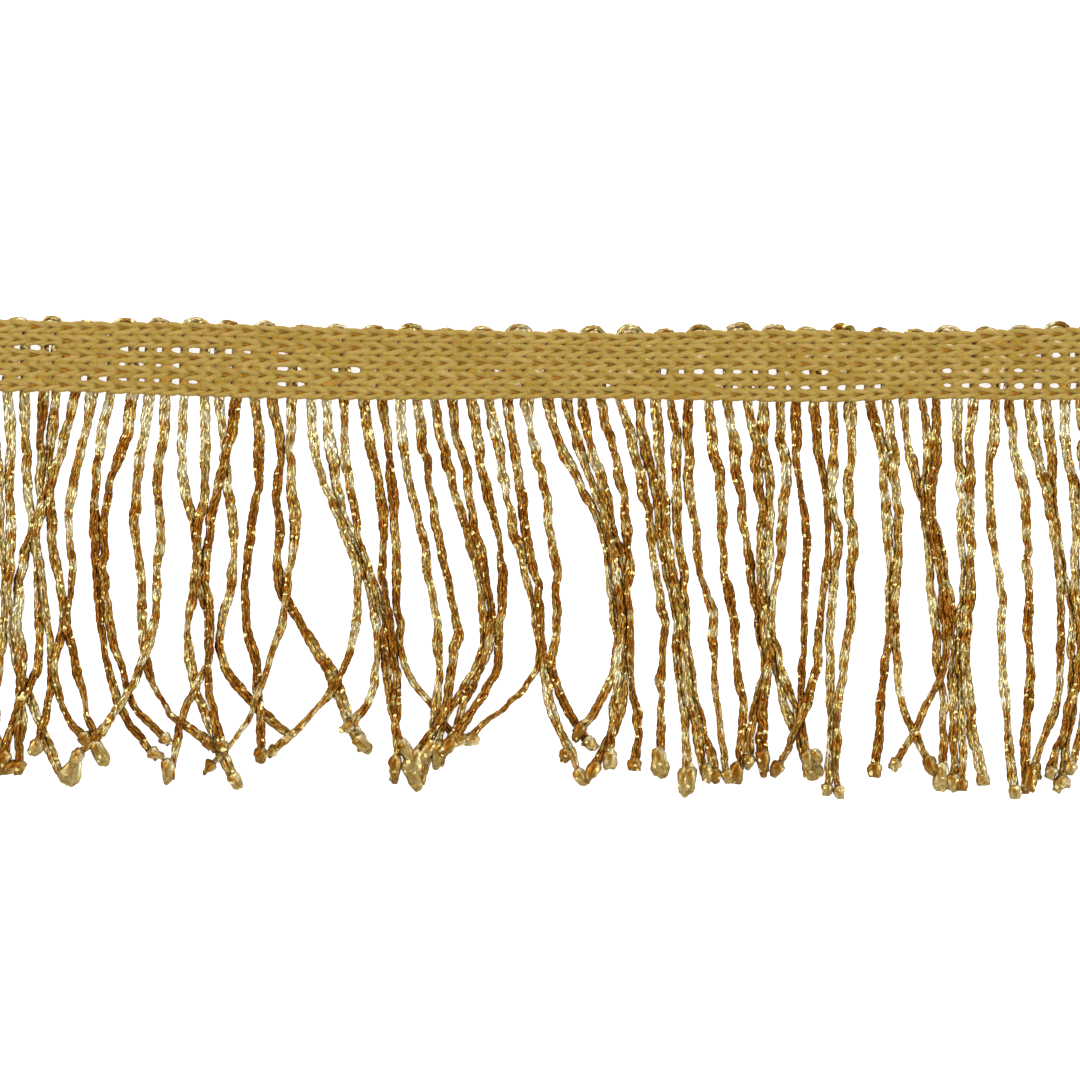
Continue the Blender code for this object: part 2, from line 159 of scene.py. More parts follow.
STRANDS = (
    Strand(-46, -45, -44, -43, -42, -42, -43, -44, -46, 352, 0, (0, 0, 0)),
    Strand(-28, -27, -26, -26, -27, -28, -30, -32, -34, 370, 0, (1, 0, 0)),
    Strand(-10, -4, 0, 1, 4, 4, -1, -3, 2, 366, 0, (1, 1, 1)),
    Strand(8, 11, 10, 12, 10, 11, 19, 36, 63, 376, 0, (1, 1, 1)),
    Strand(25, 26, 28, 31, 19, 20, 22, 22, 19, 374, 0, (1, 1, -1), 1.15),
    Strand(44, 43, 42, 36, 39, 39, 37, 18, 0, 360, 0, (-1, 1, -2), 1.1),
    Strand(57, 51, 47, 38, 41, 48, 53, 48, 36, 350, 0, (1, 1, -1)),
    Strand(76, 63, 53, 52, 58, 64, 56, 66, 88, 342, 0, (0, 0, -1)),
    Strand(92, 82, 73, 70, 73, 68, 77, 88, 103, 363, 0, (2, -1, -1)),
    Strand(112, 101, 96, 95, 97, 101, 109, 124, 159, 357, 0, (1, -2, -1), 0.9),
    Strand(133, 123, 109, 105, 105, 111, 122, 140, 171, 342, 0, (0, -2, 0)),
    Strand(150, 143, 137, 135, 142, 144, 147, 173, 213, 346, 0, (2, 0, -1)),
    Strand(166, 162, 159, 160, 156, 153, 141, 116, 72, 366, 1, (0, 0, 2)),
    Strand(184, 180, 185, 195, 195, 189, 191, 205, 238, 382, 0, (2, 0, 1), 1.15),
    Strand(204, 205, 206, 198, 200, 208, 206, 184, 169, 378, 0, (1, -1, 1)),
    Strand(219, 225, 229, 234, 233, 220, 226, 263, 288, 334, 0, (1, 1, 0)),
    Strand(236, 229, 218, 211, 206, 213, 208, 214, 226, 350, 1, (-2, -1, -2)),
    Strand(255, 259, 256, 251, 246, 248, 255, 260, 262, 358, 0, (0, -2, -1)),
    Strand(272, 279, 277, 279, 278, 299, 329, 346, 364, 350, 0, (-1, -2, 1), 1.35),
    Strand(292, 290, 291, 295, 287, 282, 267, 251, 207, 371, 0, (1, 0, 1), 0.65),
    Strand(311, 314, 327, 345, 358, 356, 344, 314, 268, 355, 1, (2, 0, 0), 0.85),
    Strand(327, 331, 340, 351, 366, 376, 377, 361, 344, 328, 0, (2, 1, 1)),
    Strand(344, 346, 350, 357, 374, 383, 386, 392, 412, 368, 0, (-1, 0, 1)),
    Strand(364, 370, 378, 384, 382, 391, 396, 398, 395, 380, 1, (0, -2, -1)),
    Strand(381, 388, 393, 395, 396, 399, 406, 437, 452, 331, 0, (-1, -1, 1), 0.85),
    Strand(400, 403, 411, 422, 430, 436, 439, 435, 419, 384, 0, (2, 0, 1)),
    Strand(418, 422, 430, 439, 449, 456, 452, 442, 412, 358, 1, (0, -1, 0)),
    Strand(435, 443, 455, 468, 479, 484, 476, 449, 437, 352, 0, (-1, -1, 1)),
    Strand(452, 460, 468, 475, 487, 492, 482, 461, 438, 365, 0, (0, -1, 1)),
    Strand(471, 479, 487, 497, 503, 501, 497, 473, 446, 346, 1, (-1, -1, 0)),
    Strand(489, 498, 505, 515, 527, 536, 536, 497, 458, 343, 0, (2, 0, 1), 0.65),
    Strand(507, 514, 520, 526, 534, 540, 543, 553, 582, 378, 0, (0, -1, 2)),
    Strand(527, 533, 545, 552, 557, 557, 552, 569, 592, 347, 0, (1, 0, -2)),
    Strand(547, 560, 584, 604, 609, 616, 614, 594, 577, 333, 0, (-1, 0, -1)),
    Strand(566, 578, 595, 610, 616, 620, 618, 613, 610, 366, 1, (1, 0, 2)),
    Strand(582, 591, 605, 615, 625, 626, 625, 619, 591, 371, 0, (-1, 0, -1)),
    Strand(600, 611, 622, 628, 628, 630, 631, 637, 635, 369, 0, (-1, -1, -2)),
    Strand(619, 632, 644, 650, 658, 664, 662, 660, 660, 373, 0, (0, -1, -1), 0.85),
    Strand(638, 645, 656, 659, 669, 677, 677, 683, 687, 391, 0, (-1, 0, 1)),
    Strand(655, 659, 662, 667, 673, 682, 684, 692, 706, 379, 1, (0, 0, -1)),
    Strand(671, 675, 677, 679, 684, 687, 690, 700, 716, 378, 0, (0, -1, 0)),
    Strand(688, 688, 689, 695, 702, 712, 715, 719, 727, 380, 0, (-1, 0, 1), 0.85),
    Strand(708, 713, 720, 723, 725, 735, 737, 743, 737, 382, 0, (-1, -1, -1)),
    Strand(727, 734, 739, 744, 751, 759, 763, 752, 747, 365, 0, (0, -1, 0)),
    Strand(747, 755, 758, 762, 759, 764, 769, 763, 764, 370, 1, (-1, 0, -2), 1.25),
    Strand(762, 765, 770, 770, 766, 769, 776, 788, 811, 366, 0, (0, 1, 1)),
    Strand(780, 781, 785, 781, 778, 771, 782, 796, 808, 375, 0, (1, 0, 0)),
    Strand(795, 796, 800, 806, 806, 804, 802, 801, 806, 360, 0, (-2, -2, -1), 0.85),
    Strand(814, 817, 826, 828, 826, 819, 815, 800, 776, 372, 1, (-1, -1, -1)),
    Strand(832, 834, 832, 837, 834, 830, 830, 831, 827, 394, 0, (2, 1, 1)),
    Strand(850, 852, 848, 853, 851, 850, 842, 835, 838, 396, 1, (0, 0, 1)),
    Strand(869, 882, 884, 889, 891, 889, 884, 880, 874, 373, 0, (-1, 0, -2)),
    Strand(886, 892, 895, 899, 896, 895, 898, 905, 930, 366, 0, (1, 0, 1), 0.8),
    Strand(903, 908, 919, 936, 946, 952, 952, 953, 953, 388, 0, (0, 0, 1)),
    Strand(921, 927, 925, 928, 929, 934, 938, 943, 942, 385, 0, (0, 0, -1)),
    Strand(936, 936, 931, 932, 940, 944, 944, 925, 893, 369, 1, (-1, -1, 0)),
    Strand(956, 957, 961, 962, 965, 960, 960, 962, 962, 389, 0, (1, 1, 1)),
    Strand(973, 970, 970, 971, 969, 966, 965, 969, 982, 384, 1, (-1, 0, 1), 1.2),
    Strand(995, 994, 990, 991, 999, 1001, 1004, 1006, 1014, 396, 0, (0, 1, 2)),
    Strand(1008, 1013, 1024, 1027, 1028, 1028, 1029, 1026, 1025, 393, 0, (0, 0, -1)),
    Strand(1028, 1034, 1046, 1053, 1059, 1060, 1061, 1052, 1030, 374, 1, (0, 0, 1)),
    Strand(1045, 1051, 1053, 1057, 1064, 1074, 1070, 1071, 1062, 386, 0, (0, 0, 1)),
    Strand(1064, 1066, 1074, 1076, 1075, 1079, 1079, 1067, 1049, 377, 0, (1, 0, -1), 1.15),
    Strand(1079, 1082, 1084, 1086, 1084, 1088, 1088, 1084, 1069, 372, 0, (0, 0, 0)),
    Strand(1097, 1098, 1100, 1101, 1101, 1102, 1103, 1103, 1102, 376, 0, (0, 0, 0)),
    Strand(1115, 1116, 1117, 1117, 1118, 1119, 1119, 1120, 1121, 362, 0, (0, 0, 0)),
    Strand(1133, 1133, 1132, 1132, 1133, 1134, 1134, 1135, 1135, 384, 0, (0, 0, 0)),
)

HOLES = (
    Hole(2, 20, 14, 3), Hole(2, 36, 10, 5), Hole(2, 51, 9, 7), Hole(2, 127, 8, 4),
    Hole(2, 142, 8, 5), Hole(2, 159, 7, 4), Hole(2, 178, 8, 5), Hole(2, 195, 10, 6),
    Hole(2, 213, 10, 6), Hole(2, 229, 8, 5), Hole(2, 247, 5, 2), Hole(2, 282, 6, 3),
    Hole(2, 1037, 6, 2), Hole(2, 1054, 6, 5), Hole(2, 1071, 5, 4), Hole(3, 12, 4, 2),
    Hole(3, 123, 4, 4), Hole(3, 139, 6, 4), Hole(3, 158, 5, 3), Hole(3, 177, 5, 3),
    Hole(3, 282, 10, 4), Hole(3, 298, 5, 5), Hole(3, 335, 5, 3), Hole(3, 353, 11, 6),
    Hole(3, 495, 5, 3), Hole(3, 662, 9, 6), Hole(3, 680, 8, 4), Hole(3, 698, 8, 5),
    Hole(3, 718, 9, 6), Hole(3, 736, 6, 5), Hole(3, 753, 6, 4), Hole(3, 773, 9, 6),
    Hole(3, 806, 6, 4), Hole(3, 821, 9, 5), Hole(3, 946, 7, 5), Hole(3, 1017, 6, 5),
    Hole(3, 1034, 4, 2), Hole(3, 1052, 4, 2), Hole(4, 0, 8, 5), Hole(4, 87, 8, 5),
    Hole(4, 104, 7, 4), Hole(4, 123, 5, 3), Hole(4, 141, 6, 3), Hole(4, 157, 5, 4),
    Hole(4, 176, 7, 4), Hole(4, 193, 6, 4), Hole(4, 282, 6, 4), Hole(4, 298, 8, 5),
    Hole(4, 348, 6, 2), Hole(4, 606, 5, 4), Hole(4, 734, 5, 4), Hole(4, 751, 4, 3),
    Hole(4, 769, 6, 4), Hole(4, 787, 4, 4), Hole(4, 804, 6, 4), Hole(4, 822, 7, 4),
    Hole(4, 841, 7, 5), Hole(4, 859, 8, 5), Hole(4, 876, 10, 5), Hole(4, 946, 5, 4),
    Hole(4, 964, 6, 4), Hole(4, 984, 9, 5), Hole(4, 1001, 10, 6), Hole(4, 1018, 7, 6),
    Hole(4, 1036, 8, 6), Hole(4, 1053, 6, 5), Hole(4, 1072, 8, 6),
)

TIPS = (
    Tip(9, 772, 8, 22, 84, BROWN), Tip(20, 768, 10, 14, 10, BROWN), Tip(2, 765, 9, 14, 0, BROWN),
    Tip(36, 748, 13, 18, 25, BEAD), Tip(66, 768, 25, 34, 0, CLEAR), Tip(76, 759, 10, 20, 30, BEAD),
    Tip(88, 740, 10, 14, -20, BROWN), Tip(101, 754, 15, 28, -28, BEAD), Tip(158, 752, 8, 18, -48, BEAD),
    Tip(168, 741, 7, 12, -60, BEAD), Tip(168, 772, 10, 24, 3, BEAD), Tip(213, 747, 9, 14, -50, BROWN),
    Tip(236, 780, 12, 22, -30, BEAD), Tip(209, 768, 5, 18, 42, BROWN), Tip(226, 749, 9, 12, 0, BROWN),
    Tip(261, 755, 11, 18, 0, BROWN), Tip(270, 751, 7, 12, 60, BEAD), Tip(344, 728, 8, 10, 60, BEAD),
    Tip(364, 745, 12, 22, -45, BEAD), Tip(395, 770, 10, 28, 0, BROWN), Tip(415, 760, 22, 36, 22, CLEAR),
    Tip(407, 752, 11, 26, -25, BEAD), Tip(419, 780, 14, 22, 0, BEAD), Tip(427, 752, 12, 26, 30, BEAD),
    Tip(438, 762, 11, 18, 15, BEAD), Tip(446, 749, 11, 18, 40, BROWN), Tip(457, 742, 9, 20, 65, BEAD),
    Tip(469, 740, 9, 18, 72, BEAD), Tip(565, 756, 12, 13, 10, BROWN), Tip(581, 776, 13, 20, -25, BEAD),
    Tip(590, 775, 11, 20, 38, BROWN), Tip(592, 745, 10, 14, -50, CLEAR), Tip(577, 737, 9, 12, 30, BROWN),
    Tip(610, 761, 14, 20, 5, CLEAR, 0.1), Tip(634, 768, 14, 14, 0, BROWN, 0.35),
    Tip(660, 763, 20, 31, -6, BEAD), Tip(684, 783, 13, 28, 0, CLEAR), Tip(690, 780, 11, 28, 0, BEAD),
    Tip(707, 774, 10, 20, -10, BEAD), Tip(714, 774, 11, 20, -8, BROWN),
    Tip(727, 777, 12, 18, -20, BEAD, 0.2), Tip(736, 775, 15, 24, 6, BROWN, 0.2),
    Tip(748, 764, 9, 12, 10, BEAD), Tip(763, 764, 11, 28, -2, BROWN), Tip(778, 770, 10, 20, 45, BROWN, 0.1),
    Tip(816, 756, 10, 15, -35, BEAD), Tip(812, 770, 21, 22, -30, BEAD), Tip(806, 762, 10, 16, -10, BEAD),
    Tip(827, 791, 8, 14, 10, BEAD, 0.2), Tip(839, 792, 9, 18, -8, CLEAR, 0.2),
    Tip(874, 769, 14, 20, 5, BROWN, 0.15), Tip(895, 766, 9, 14, 42, CLEAR, 0.2),
    Tip(928, 766, 11, 24, -32, BROWN), Tip(941, 778, 20, 27, 0, CLEAR), Tip(953, 783, 12, 18, 0, BEAD),
    Tip(961, 786, 11, 14, 0, BROWN, 0.25), Tip(982, 781, 12, 16, -12, BEAD, 0.3),
    Tip(1014, 794, 11, 16, -5, CLEAR, 0.3), Tip(1025, 788, 14, 18, 0, BROWN, 0.25),
    Tip(1034, 774, 8, 14, -40, BROWN), Tip(1050, 774, 10, 14, 12, CLEAR, 0.2),
    Tip(1063, 783, 12, 16, 0, CLEAR, 0.25), Tip(1055, 787, 10, 14, 10, BEAD, 0.2),
    Tip(1069, 768, 10, 14, 20, BEAD), Tip(-46, 750, 10, 14, 0, BROWN), Tip(-34, 768, 10, 14, 0, BEAD),
    Tip(1102, 773, 10, 14, 0, BROWN), Tip(1121, 759, 10, 14, 0, CLEAR), Tip(1135, 781, 10, 14, 0, BROWN),
)


@dataclass(frozen=True)
class Chart:
    """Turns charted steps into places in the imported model's frame."""

    step: float
    left_end: float = -57
    right_end: float = 1143
    outline_top: float = 85.7
    outline_bottom: float = -396
    heading_line: float = 401

    @classmethod
    def fitted(cls) -> "Chart":
        """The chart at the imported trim's length."""
        low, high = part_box("fringe")
        return cls((high.x - low.x) / (cls.right_end - cls.left_end))

    def x(self, along: np.ndarray) -> np.ndarray:
        """Place along the trim, in metres."""
        return (np.asarray(along, float) - (self.left_end + self.right_end) / 2) * self.step

    def along(self, x: np.ndarray) -> np.ndarray:
        """Steps along the trim of a place in metres."""
        return x / self.step + (self.left_end + self.right_end) / 2

    def y(self, across: np.ndarray) -> np.ndarray:
        """Place across the trim, in metres."""
        return (np.asarray(across, float) - (self.outline_top + self.outline_bottom) / 2) * self.step

    def y_down(self, down: np.ndarray) -> np.ndarray:
        """Place across the trim of a row of the chart, counted downwards."""
        return self.y(self.heading_line - np.asarray(down, float))


def smooth_through(knots: list, values: list, wanted: np.ndarray) -> np.ndarray:
    """Reads the smooth curve that runs through some points.

    Args:
        knots: Places of the points, rising.
        values: Their values.
        wanted: Places to read.

    Returns:
        The curve's values at the wanted places.
    """
    knots = np.asarray(knots, float)
    values = np.asarray(values, float)
    wanted = np.asarray(wanted, float)
    slopes = np.gradient(values, knots)
    cell = np.clip(np.searchsorted(knots, wanted, side="right") - 1, 0, len(knots) - 2)
    span = knots[cell + 1] - knots[cell]
    t = (wanted - knots[cell]) / span
    start = (2 * t**3 - 3 * t**2 + 1) * values[cell] + (t**3 - 2 * t**2 + t) * span * slopes[cell]
    end = (3 * t**2 - 2 * t**3) * values[cell + 1] + (t**3 - t**2) * span * slopes[cell + 1]
    return start + end


def drift(rng: np.random.Generator, run: np.ndarray, wave: float) -> np.ndarray:
    """A smooth random walk of about unit size.

    Args:
        rng: Source of the random draws.
        run: Places to read, in metres.
        wave: Metres between the walk's turning points.

    Returns:
        The walk's value at each place.
    """
    count = max(4, int((run.max() - run.min()) / wave) + 4)
    knots = run.min() + (np.arange(count) - 1) * wave
    return smooth_through(knots, rng.normal(0.0, 1.0, count), run)


def rise(value: np.ndarray, start: float, end: float) -> np.ndarray:
    """How far a value is on its way from start to end, from 0 to 1."""
    return np.clip((value - start) / (end - start), 0.0, 1.0)


def run_along(points: np.ndarray) -> np.ndarray:
    """Length along a line at each of its points."""
    steps = np.linalg.norm(np.diff(points, axis=0), axis=1)
    return np.concatenate([[0.0], np.cumsum(steps)])


def read_along(points: np.ndarray, wanted: np.ndarray) -> np.ndarray:
    """Places on a line at some lengths along it."""
    run = run_along(points)
    return np.column_stack([np.interp(wanted, run, axis) for axis in points.T])


def dress(piece: bpy.types.Object, finish: bpy.types.Material, node: str) -> None:
    """Gives a piece its finish and its place in the model.

    Args:
        piece: The finished piece.
        finish: Its material.
        node: The solid that it stands for.
    """
    piece.data.materials.append(finish)
    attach(piece, "root")
    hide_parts(node)


@dataclass
class Path:
    """A line that yarn follows, with a side and an up direction at each point."""

    points: np.ndarray
    roll: np.ndarray | None = None
    run: np.ndarray = field(init=False)
    sides: np.ndarray = field(init=False)
    ups: np.ndarray = field(init=False)

    def __post_init__(self) -> None:
        """Works out the length along the line and its directions."""
        self.run = run_along(self.points)
        tangents = np.gradient(self.points, self.run, axis=0)
        tangents /= np.linalg.norm(tangents, axis=1)[:, None]
        sides = np.cross(tangents, (0.0, 0.0, 1.0))
        sides /= np.linalg.norm(sides, axis=1)[:, None]
        ups = np.cross(sides, tangents)
        turn = np.zeros(len(self.points)) if self.roll is None else self.roll
        self.sides = np.cos(turn)[:, None] * sides + np.sin(turn)[:, None] * ups
        self.ups = np.cos(turn)[:, None] * ups - np.sin(turn)[:, None] * sides

    @property
    def length(self) -> float:
        """The line's length."""
        return float(self.run[-1])

    def place(self, run: np.ndarray, side: np.ndarray, up: np.ndarray) -> np.ndarray:
        """Points beside the line.

        Args:
            run: Length along the line.
            side: Distance to its side.
            up: Distance above it.

        Returns:
            Points, with a last axis of three.
        """
        found = []
        for axis in range(3):
            centre = np.interp(run, self.run, self.points[:, axis])
            aside = np.interp(run, self.run, self.sides[:, axis])
            above = np.interp(run, self.run, self.ups[:, axis])
            found.append(centre + side * aside + up * above)
        return np.stack(found, axis=-1)


@dataclass
class Spindle:
    """A straight plump length of yarn from 0 to 1, modelled once and then bent many times."""

    sides: int
    radii: tuple
    along: np.ndarray = field(init=False)
    across: np.ndarray = field(init=False)
    corners: np.ndarray = field(init=False)
    sizes: np.ndarray = field(init=False)
    turns: np.ndarray = field(init=False)

    def __post_init__(self) -> None:
        """Extrudes a circle ring by ring, sizing each ring, and reads the mesh."""
        bpy.ops.object.select_all(action="DESELECT")
        bpy.ops.mesh.primitive_circle_add(vertices=self.sides, radius=self.radii[0], fill_type="NGON")
        shape = bpy.context.object
        bpy.ops.object.mode_set(mode="EDIT")
        bpy.ops.mesh.select_all(action="SELECT")
        rise = 1.0 / (len(self.radii) - 1)
        for ring, (last, radius) in enumerate(zip(self.radii, self.radii[1:])):
            bpy.ops.mesh.extrude_region_move(TRANSFORM_OT_translate={"value": (0.0, 0.0, rise)})
            factor = radius / last
            bpy.ops.transform.resize(
                value=(factor, factor, 1.0), center_override=(0.0, 0.0, rise * (ring + 1))
            )
        bpy.ops.mesh.select_all(action="SELECT")
        bpy.ops.mesh.normals_make_consistent(inside=False)
        bpy.ops.object.mode_set(mode="OBJECT")
        points = np.array([v.co for v in shape.data.vertices])
        self.along = points[:, 2]
        self.across = points[:, :2]
        faces = [list(p.vertices) for p in shape.data.polygons]
        angles = np.arctan2(points[:, 1], points[:, 0]) / math.tau + 0.5
        turns = []
        for face in faces:
            around = angles[face]
            if around.max() - around.min() > 0.5 and len(face) == 4:
                around = np.where(around < 0.5, around + 1.0, around)
            turns.append(around)
        self.corners = np.concatenate(faces)
        self.sizes = np.array([len(face) for face in faces])
        self.turns = np.concatenate(turns)
        mesh = shape.data
        bpy.data.objects.remove(shape)
        bpy.data.meshes.remove(mesh)


class LegPoint(NamedTuple):
    """A point of a stitch's leg: pitches along, half widths aside and half depths up."""

    along: float
    aside: float
    up: float


@dataclass
class Leg:
    """One leg of a chain stitch, a spindle bent along its own points."""

    spindle: Spindle
    line: tuple
    flatness: float = 1.0

    def local(self) -> tuple:
        """Bends the spindle along the leg's line.

        Returns:
            Its points in the stitch's own measures, along, aside and up.
        """
        knots = np.linspace(0.0, 1.0, len(self.line))
        t = self.spindle.along
        along, aside, up = (smooth_through(knots, [p[n] for p in self.line], t) for n in range(3))
        return along, aside + self.spindle.across[:, 0], up + self.spindle.across[:, 1] * self.flatness


@dataclass
class MeshStack:
    """Copies of small meshes, gathered into one piece."""

    points: list = field(default_factory=list)
    corners: list = field(default_factory=list)
    sizes: list = field(default_factory=list)
    uvs: list = field(default_factory=list)
    tones: list = field(default_factory=list)
    count: int = 0
    softness: float = 0.03 * MM

    def add(self, copies: np.ndarray, spindle: Spindle, looks: tuple, mirrored: bool) -> None:
        """Adds bent copies of a spindle.

        Args:
            copies: Points of each copy, copies by points by three.
            spindle: What they are copies of.
            looks: For each point of each copy its tone and its length along the yarn in metres,
                and a number that sets the copies' pattern apart from others.
            mirrored: Whether the copies are turned inside out and their faces need flipping.
        """
        tones, run, apart = looks
        order = np.arange(len(spindle.corners))
        if mirrored:
            faces = zip(np.cumsum(spindle.sizes), spindle.sizes)
            order = np.concatenate([np.arange(end - 1, end - size - 1, -1) for end, size in faces])
        corners = spindle.corners[order]
        number, size = copies.shape[:2]
        offsets = self.count + size * np.arange(number)
        self.corners.append((offsets[:, None] + corners[None]).ravel())
        self.sizes.append(np.tile(spindle.sizes, number))
        around = np.tile(spindle.turns[order] + apart, number)
        self.uvs.append(np.column_stack([run[:, corners].ravel() / MM, around]))
        self.points.append(copies.reshape(-1, 3))
        self.tones.append(tones.ravel())
        self.count += number * size

    def settled(self) -> np.ndarray:
        """Presses what would sink into the table softly flat on it.

        Returns:
            All points.
        """
        points = np.concatenate(self.points)
        points[:, 2] = np.logaddexp(0.0, points[:, 2] / self.softness) * self.softness
        return points

    def finished(self, name: str) -> bpy.types.Object:
        """Makes the piece, shaded smooth.

        Args:
            name: The piece's name.

        Returns:
            The new object, at the origin.
        """
        mesh = bpy.data.meshes.new(name)
        corners = np.concatenate(self.corners)
        sizes = np.concatenate(self.sizes)
        mesh.vertices.add(self.count)
        mesh.vertices.foreach_set("co", self.settled().astype(np.float32).ravel())
        mesh.loops.add(len(corners))
        mesh.loops.foreach_set("vertex_index", corners.astype(np.int32))
        mesh.polygons.add(len(sizes))
        mesh.polygons.foreach_set("loop_start", (np.cumsum(sizes) - sizes).astype(np.int32))
        mesh.polygons.foreach_set("use_smooth", np.full(len(sizes), True))
        mesh.update(calc_edges=True)
        layer = mesh.uv_layers.new(name="yarn")
        layer.data.foreach_set("uv", np.concatenate(self.uvs).astype(np.float32).ravel())
        tone = mesh.attributes.new("tone", "FLOAT", "POINT")
        tone.data.foreach_set("value", np.concatenate(self.tones).astype(np.float32))
        mesh.validate()
        piece = bpy.data.objects.new(name, mesh)
        bpy.context.scene.collection.objects.link(piece)
        return piece


@dataclass
class Chain:
    """A chain of stitches: two front legs and a back bar in each.

    One leg is shifted on and the other back by the stagger, a share of a pitch. Outer sides turn
    darker by painted shade, the side shade, from the first to the second of the shaded shares of the half
    width.
    """

    front: Leg
    back: Leg
    half_width: float
    half_depth: float
    unevenness: float
    patchiness: float
    stagger: float = 0.0
    side_shade: float = 0.0
    shaded: tuple = (0.5, 0.95)
    pattern_lengths: float = 90.0
    leg_pattern: float = 2.3

    def outline(self) -> tuple:
        """Gathers one stitch's points, both legs and the bar.

        Returns:
            Their places aside and up, in metres.
        """
        asides, ups = [], []
        for leg, mirror in ((self.front, 1.0), (self.front, -1.0), (self.back, 1.0)):
            _, aside, up = leg.local()
            asides.append(mirror * aside * self.half_width)
            ups.append(up * self.half_depth)
        return np.concatenate(asides), np.concatenate(ups)

    def underside(self, roll: np.ndarray) -> np.ndarray:
        """How far the chain reaches below its middle when it is rolled.

        Args:
            roll: Its roll at some places, in radians.

        Returns:
            The depth at each place, in metres.
        """
        aside, up = self.outline()
        heights = np.sin(roll)[:, None] * aside[None] + np.cos(roll)[:, None] * up[None]
        return -heights.min(axis=1)

    def knit(
        self,
        stack: MeshStack,
        path: Path,
        centres: np.ndarray,
        tone: Callable,
        rng: np.random.Generator,
        reach: Callable,
    ) -> None:
        """Knits stitches along a path.

        Args:
            stack: Where the stitches go.
            path: The line that they follow.
            centres: Length along the path of each stitch's middle.
            tone: Gives the tone at lengths along the path.
            rng: Source of the stitches' unevenness.
            reach: Gives the half width at lengths along the path, for a side of 1 or -1.
        """
        apart = float(rng.uniform(0.0, self.pattern_lengths))
        pitches = np.gradient(centres)[:, None]
        for leg, side in ((self.front, 1.0), (self.front, -1.0), (self.back, 0.0)):
            along, aside, up = leg.local()
            count = len(centres)
            sway = rng.normal(0.0, self.unevenness, (count, 3))
            run = centres[:, None] + pitches * (along[None] + self.stagger * side + sway[:, :1])
            mirror = side or 1.0
            offset = mirror * reach(run, mirror) * (aside[None] * (1.0 + sway[:, 1:2]))
            lift = self.half_depth * (up[None] + sway[:, 2:3])
            tones = tone(run) + rng.normal(0.0, self.patchiness, (count, 1))
            # Painted shade: the yarn's outer sides are darkened in its tone.
            tones -= self.side_shade * rise(np.abs(aside), *self.shaded)[None]
            looks = (tones, run, apart + self.leg_pattern * side)
            stack.add(path.place(run, offset, lift), leg.spindle, looks, mirror > 0)


